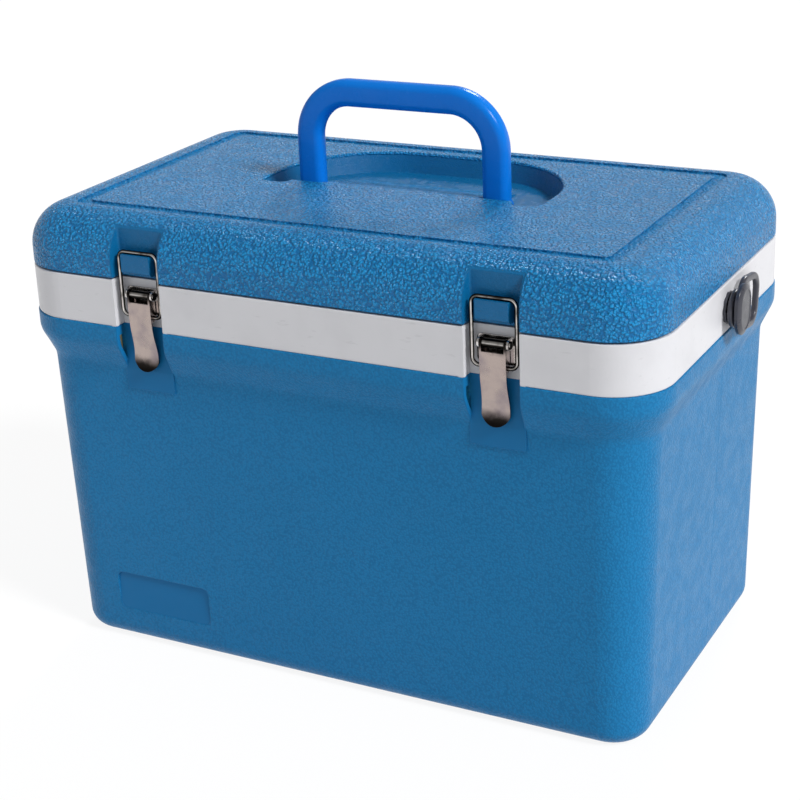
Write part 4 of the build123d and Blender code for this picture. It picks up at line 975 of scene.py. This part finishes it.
@dataclass(frozen=True)
class StrapMount:
    """One strap stud with an oval, bevelled head, and the ring that turns behind it.

    The stud's layers are (depth under the head's face, half width, half height, corner radius) in millimetres.
    Layers deeper than foot_depth are the foot, which is notched.
    """

    side: Side
    middle_z: float = 240.5 * MM
    stud_layers: tuple[tuple[float, float, float, float], ...] = (
        (11.15, 9.9, 9.9, 9.9),
        (9.4, 9.9, 9.9, 9.9),
        (9.2, 6.0, 6.0, 6.0),
        (4.3, 6.0, 6.0, 6.0),
        (4.1, 10.6, 14.0, 10.6),
        (3.6, 11.6, 15.0, 11.6),
        (1.7, 11.9, 15.4, 11.9),
        (1.3, 11.6, 15.1, 11.6),
        (0.45, 9.9, 13.4, 9.9),
        (0.3, 9.5, 13.0, 9.5),
        (0.02, 9.0, 12.5, 9.0),
        (0.02, 8.5, 12.0, 8.5),
        (0.4, 8.0, 11.5, 8.0),
        (0.4, 0.5, 4.0, 0.5),
    )
    foot_depth: float = 9.3
    notches: int = 9
    notch_depth: float = 0.9 * MM
    hub_radii: Pair = (6.2 * MM, 11.4 * MM)
    loop_near: float = 7.5 * MM
    loop_far: float = 39.8 * MM
    loop_half: float = 14.4 * MM
    loop_corner: float = 9.5 * MM
    loop_bar: float = 4.4 * MM
    loop_tilt: float = -8.0
    loop_share: float = 0.98
    corner_steps: int = 18
    section_steps: int = 16
    squareness: float = 0.6

    def stud(self) -> np.ndarray:
        """The stud's layers as rings, from the wall outwards.

        The foot's radius is less by half the notches' depth times 1 + cos(notches x turn).
        """
        low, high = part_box(f"strap_stud_{self.side.word}")
        reach = max(abs(low.x), abs(high.x))
        rings = []
        for depth, half_y, half_z, corner in self.stud_layers:
            line, out = rounded_rectangle((half_y * MM, half_z * MM), corner * MM, self.corner_steps)
            if depth > self.foot_depth:
                turn = np.arctan2(out[:, 1], out[:, 0])
                line = line - out * (self.notch_depth / 2 * (1 + np.cos(self.notches * turn)))[:, None]
            x = np.full((len(line), 1), reach - depth * MM)
            rings.append(np.concatenate([x, line + (0.0, self.middle_z)], axis=-1))
        return np.stack(rings)

    def loop(self, line: np.ndarray, out: np.ndarray, width: float) -> np.ndarray:
        """Sweeps a bar with rounded edges along a closed line that lies in the ring's plane.

        Args:
            line: the bar's middle line about the stud's axis.
            out: the outward direction along it.
            width: the bar's width in the plane. Its thickness is a share of the node's own.

        Returns:
            Points, section by section.
        """
        low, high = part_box(f"strap_ring_{self.side.word}")
        near, far = sorted((abs(low.x), abs(high.x)))
        tilt = math.radians(self.loop_tilt)
        turned = np.array([[math.cos(tilt), math.sin(tilt)], [-math.sin(tilt), math.cos(tilt)]])
        line, out = line @ turned + (0.0, self.middle_z), out @ turned
        bar = soft_square(self.section_steps, self.squareness)
        plan = line[:, None, :] + out[:, None, :] * (bar[0] * width / 2)[None, :, None]
        depth = (near + far) / 2 + bar[1] * (far - near) / 2 * self.loop_share
        x = np.broadcast_to(depth[None, :, None], (*plan.shape[:2], 1))
        return np.concatenate([x, plan], axis=-1)[::-1]

    def build(self, dresser: Dresser) -> None:
        """Models the stud and the ring, on the left as the right one's mirror image."""
        stud = self.stud()
        inner, outer = self.hub_radii
        middle = (inner + outer) / 2
        hub = self.loop(*rounded_rectangle((middle, middle), middle, self.corner_steps), outer - inner)
        half_y = (self.loop_far - self.loop_near) / 2
        line, out = rounded_rectangle((half_y, self.loop_half), self.loop_corner, self.corner_steps)
        strap_loop = self.loop(line + (self.loop_near + half_y, 0.0), out, self.loop_bar)
        grids = [stud, hub, strap_loop]
        if self.side is Side.LEFT:
            grids = [grid[::-1] * np.array([-1.0, 1.0, 1.0]) for grid in grids]
        pieces = {"strap_stud": make_piece(f"strap_stud_oval_{self.side.word}", grids[:1])}
        pieces["strap_ring"] = make_piece(f"strap_ring_loop_{self.side.word}", grids[1:], wrap_rows=True)
        for node, piece in pieces.items():
            dresser.coat(piece, LUG_NYLON)
            swap(piece, f"{node}_{self.side.word}")


@dataclass(frozen=True)
class ScrewSet:
    """The screws of one node, all on one face, alike on both halves."""

    node: str
    middle_x: float
    steps: tuple[float, ...]
    z: float
    facing: int

    def build(self, dresser: Dresser) -> None:
        """Makes the screws and lets them stand for the frame's plain ones."""
        low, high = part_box(self.node)
        face_y = high.y if self.facing > 0 else low.y
        places = [side.value * self.middle_x + step for side in Side for step in self.steps]
        grids = [Screw().grid(x, face_y, self.z, self.facing, high.y - low.y) for x in places]
        piece = make_piece(f"{self.node}_cross_recessed", grids)
        dresser.coat(piece, BRIGHT_NICKEL)
        swap(piece, self.node)


SCREW_SETS = (
    ScrewSet("latch_screws", 117 * MM, (-4 * MM, 4 * MM), 237.6 * MM, -1),
    ScrewSet("hinge_lower_screws", 105 * MM, (-14 * MM, 0.0, 14 * MM), 244 * MM, 1),
    ScrewSet("hinge_upper_screws", 105 * MM, (-14 * MM, 0.0, 14 * MM), 269 * MM, 1),
)


# ---------------------------------------------------------------- studio
@dataclass(frozen=True)
class Lamp:
    """A broad, distant lamp.

    Its strength is what a surface that faces it squarely gets. It shines from a direction, and its softness is how
    wide it looks in degrees.
    """

    name: str
    strength: float
    shines_from: Triple
    softness: float

    def hang(self) -> None:
        """Puts the lamp into the scene."""
        data = bpy.data.lights.new(self.name, "SUN")
        data.energy = self.strength
        data.angle = math.radians(self.softness)
        lamp = bpy.data.objects.new(self.name, data)
        lamp.rotation_euler = Vector(self.shines_from).to_track_quat("Z", "Y").to_euler()
        bpy.context.collection.objects.link(lamp)


@dataclass(frozen=True)
class Camera:
    """The camera: 1.18 m from the carrier's middle, 28 degrees round to its right and 21 above it."""

    lens: float = 82.09
    sensor: float = 36.0
    shift: Pair = (-0.01166, -0.03396)
    position: Triple = (0.5126085, -0.9709092, 0.5899530)
    right: Triple = (0.8902328, 0.4539984, -0.0370271)
    up: Triple = (-0.1316107, 0.3341875, 0.9332724)

    def place(self) -> None:
        """Puts the camera into the scene. It looks against the cross product of its right and up directions."""
        data = bpy.data.cameras.new("camera")
        data.lens, data.sensor_width = self.lens, self.sensor
        data.shift_x, data.shift_y = self.shift
        camera = bpy.data.objects.new("camera", data)
        columns = (self.right, self.up, tuple(np.cross(self.right, self.up)), self.position)
        camera.matrix_world = Matrix([list(row) for row in zip(*columns)] + [[0, 0, 0, 1]])
        bpy.context.collection.objects.link(camera)
        bpy.context.scene.camera = camera


@dataclass(frozen=True)
class Studio:
    """A pale floor, a soft white surround, a broad key lamp, a weak rim lamp and the camera."""

    floor_half: float = 8.0
    floor_colour: str = "E8E8E8"
    floor_white: float = 0.89
    floor_share: float = 0.16
    ambient: float = 0.32
    backdrop_top: Pair = (0.0, 12.0)
    key: Lamp = Lamp("key_lamp", 2.6, (0.73, -0.17, 0.66), 14.0)
    rim: Lamp = Lamp("rim_lamp", 0.95, (-0.1, 0.8, 0.55), 12.0)
    camera: Camera = Camera()

    @staticmethod
    def rays(tree: Tree) -> tuple[Socket, Socket]:
        """1 for rays straight from the camera, and 1 for those from a gloss or through a clear piece."""
        kinds = add_node(tree, "ShaderNodeLightPath").node.outputs
        bent = {0: kinds["Is Glossy Ray"], 1: kinds["Is Transmission Ray"]}
        return kinds["Is Camera Ray"], add_node(tree, MATH, {"operation": "MAXIMUM"}, bent)

    def floor(self) -> None:
        """Lays the floor: matt, so that it keeps the shadow, and mostly plain white where it is seen."""
        half = self.floor_half
        corners = [(-half, -half, 0.0), (half, -half, 0.0), (half, half, 0.0), (-half, half, 0.0)]
        mesh = bpy.data.meshes.new("floor")
        mesh.from_pydata(corners, [], [(0, 1, 2, 3)])
        floor = bpy.data.objects.new("floor", mesh)
        bpy.context.collection.objects.link(floor)
        material, tree, _ = new_material("studio_floor")
        direct, bent = self.rays(tree)
        seen = add_node(tree, MATH, {"operation": "MAXIMUM"}, {0: direct, 1: bent})
        share = add_node(tree, MATH, {"operation": "MULTIPLY", 1: 1 - self.floor_share}, {0: seen})
        matt = add_node(tree, "ShaderNodeBsdfDiffuse", {"Color": linear(self.floor_colour)})
        strength = self.floor_white / (1 - self.floor_share)
        glow = add_node(tree, "ShaderNodeEmission", {"Color": (1, 1, 1, 1), "Strength": strength})
        both = add_node(tree, "ShaderNodeMixShader", links={0: share, 1: matt, 2: glow})
        tree.links.new(both, tree.nodes.new("ShaderNodeOutputMaterial").inputs["Surface"])
        mesh.materials.append(material)

    def surround(self) -> None:
        """Sets the world: plain white where it is seen, and a soft grey sky to the object.

        A gloss sees the same white up to the backdrop's top, and the dimmer studio above it. The height of a
        direction is the sine of its angle, which fades the white out between the two angles of the backdrop's top.
        """
        world = bpy.data.worlds.new("white_surround")
        bpy.context.scene.world = world
        world.use_nodes = True
        tree = world.node_tree
        tree.nodes.clear()
        direct, bent = self.rays(tree)
        way = add_node(tree, "ShaderNodeTexCoord", out="Generated")
        rise = add_node(tree, "ShaderNodeSeparateXYZ", links={0: way}, out=2)
        low, high = (math.sin(math.radians(angle)) for angle in self.backdrop_top)
        span = {"From Min": low, "From Max": high, "To Min": 1.0, "To Max": 0.0}
        backdrop = add_node(tree, MAP_RANGE, span, {"Value": rise})
        mirrored_share = add_node(tree, MATH, {"operation": "MULTIPLY"}, {0: bent, 1: backdrop})
        seen = add_node(tree, MATH, {"operation": "MAXIMUM"}, {0: direct, 1: mirrored_share})
        level = add_node(tree, MAP_RANGE, {"To Min": self.ambient, "To Max": 1.0}, {"Value": seen})
        sky = add_node(tree, "ShaderNodeBackground", {"Color": (1, 1, 1, 1)}, {"Strength": level})
        tree.links.new(sky, tree.nodes.new("ShaderNodeOutputWorld").inputs["Surface"])

    def build(self) -> None:
        """Builds the whole studio."""
        self.floor()
        self.surround()
        self.key.hang()
        self.rim.hang()
        self.camera.place()
        bpy.context.scene.view_settings.view_transform = "Standard"


def main() -> None:
    """Builds the studio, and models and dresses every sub-assembly."""
    logging.basicConfig(level=logging.INFO, format="%(name)s: %(message)s")
    Studio().build()
    dresser = Dresser()
    pairs = [kind(side) for kind in (DrawLatch, Hinge) for side in Side]
    for group in (InsulatedBox(), Lid(), Handle(), *map(StrapMount, Side), *SCREW_SETS):
        group.build(dresser)
    for group in (InsulatedBox(), Lid(), *pairs):
        group.dress(dresser)


if __name__ == "__main__":
    main()
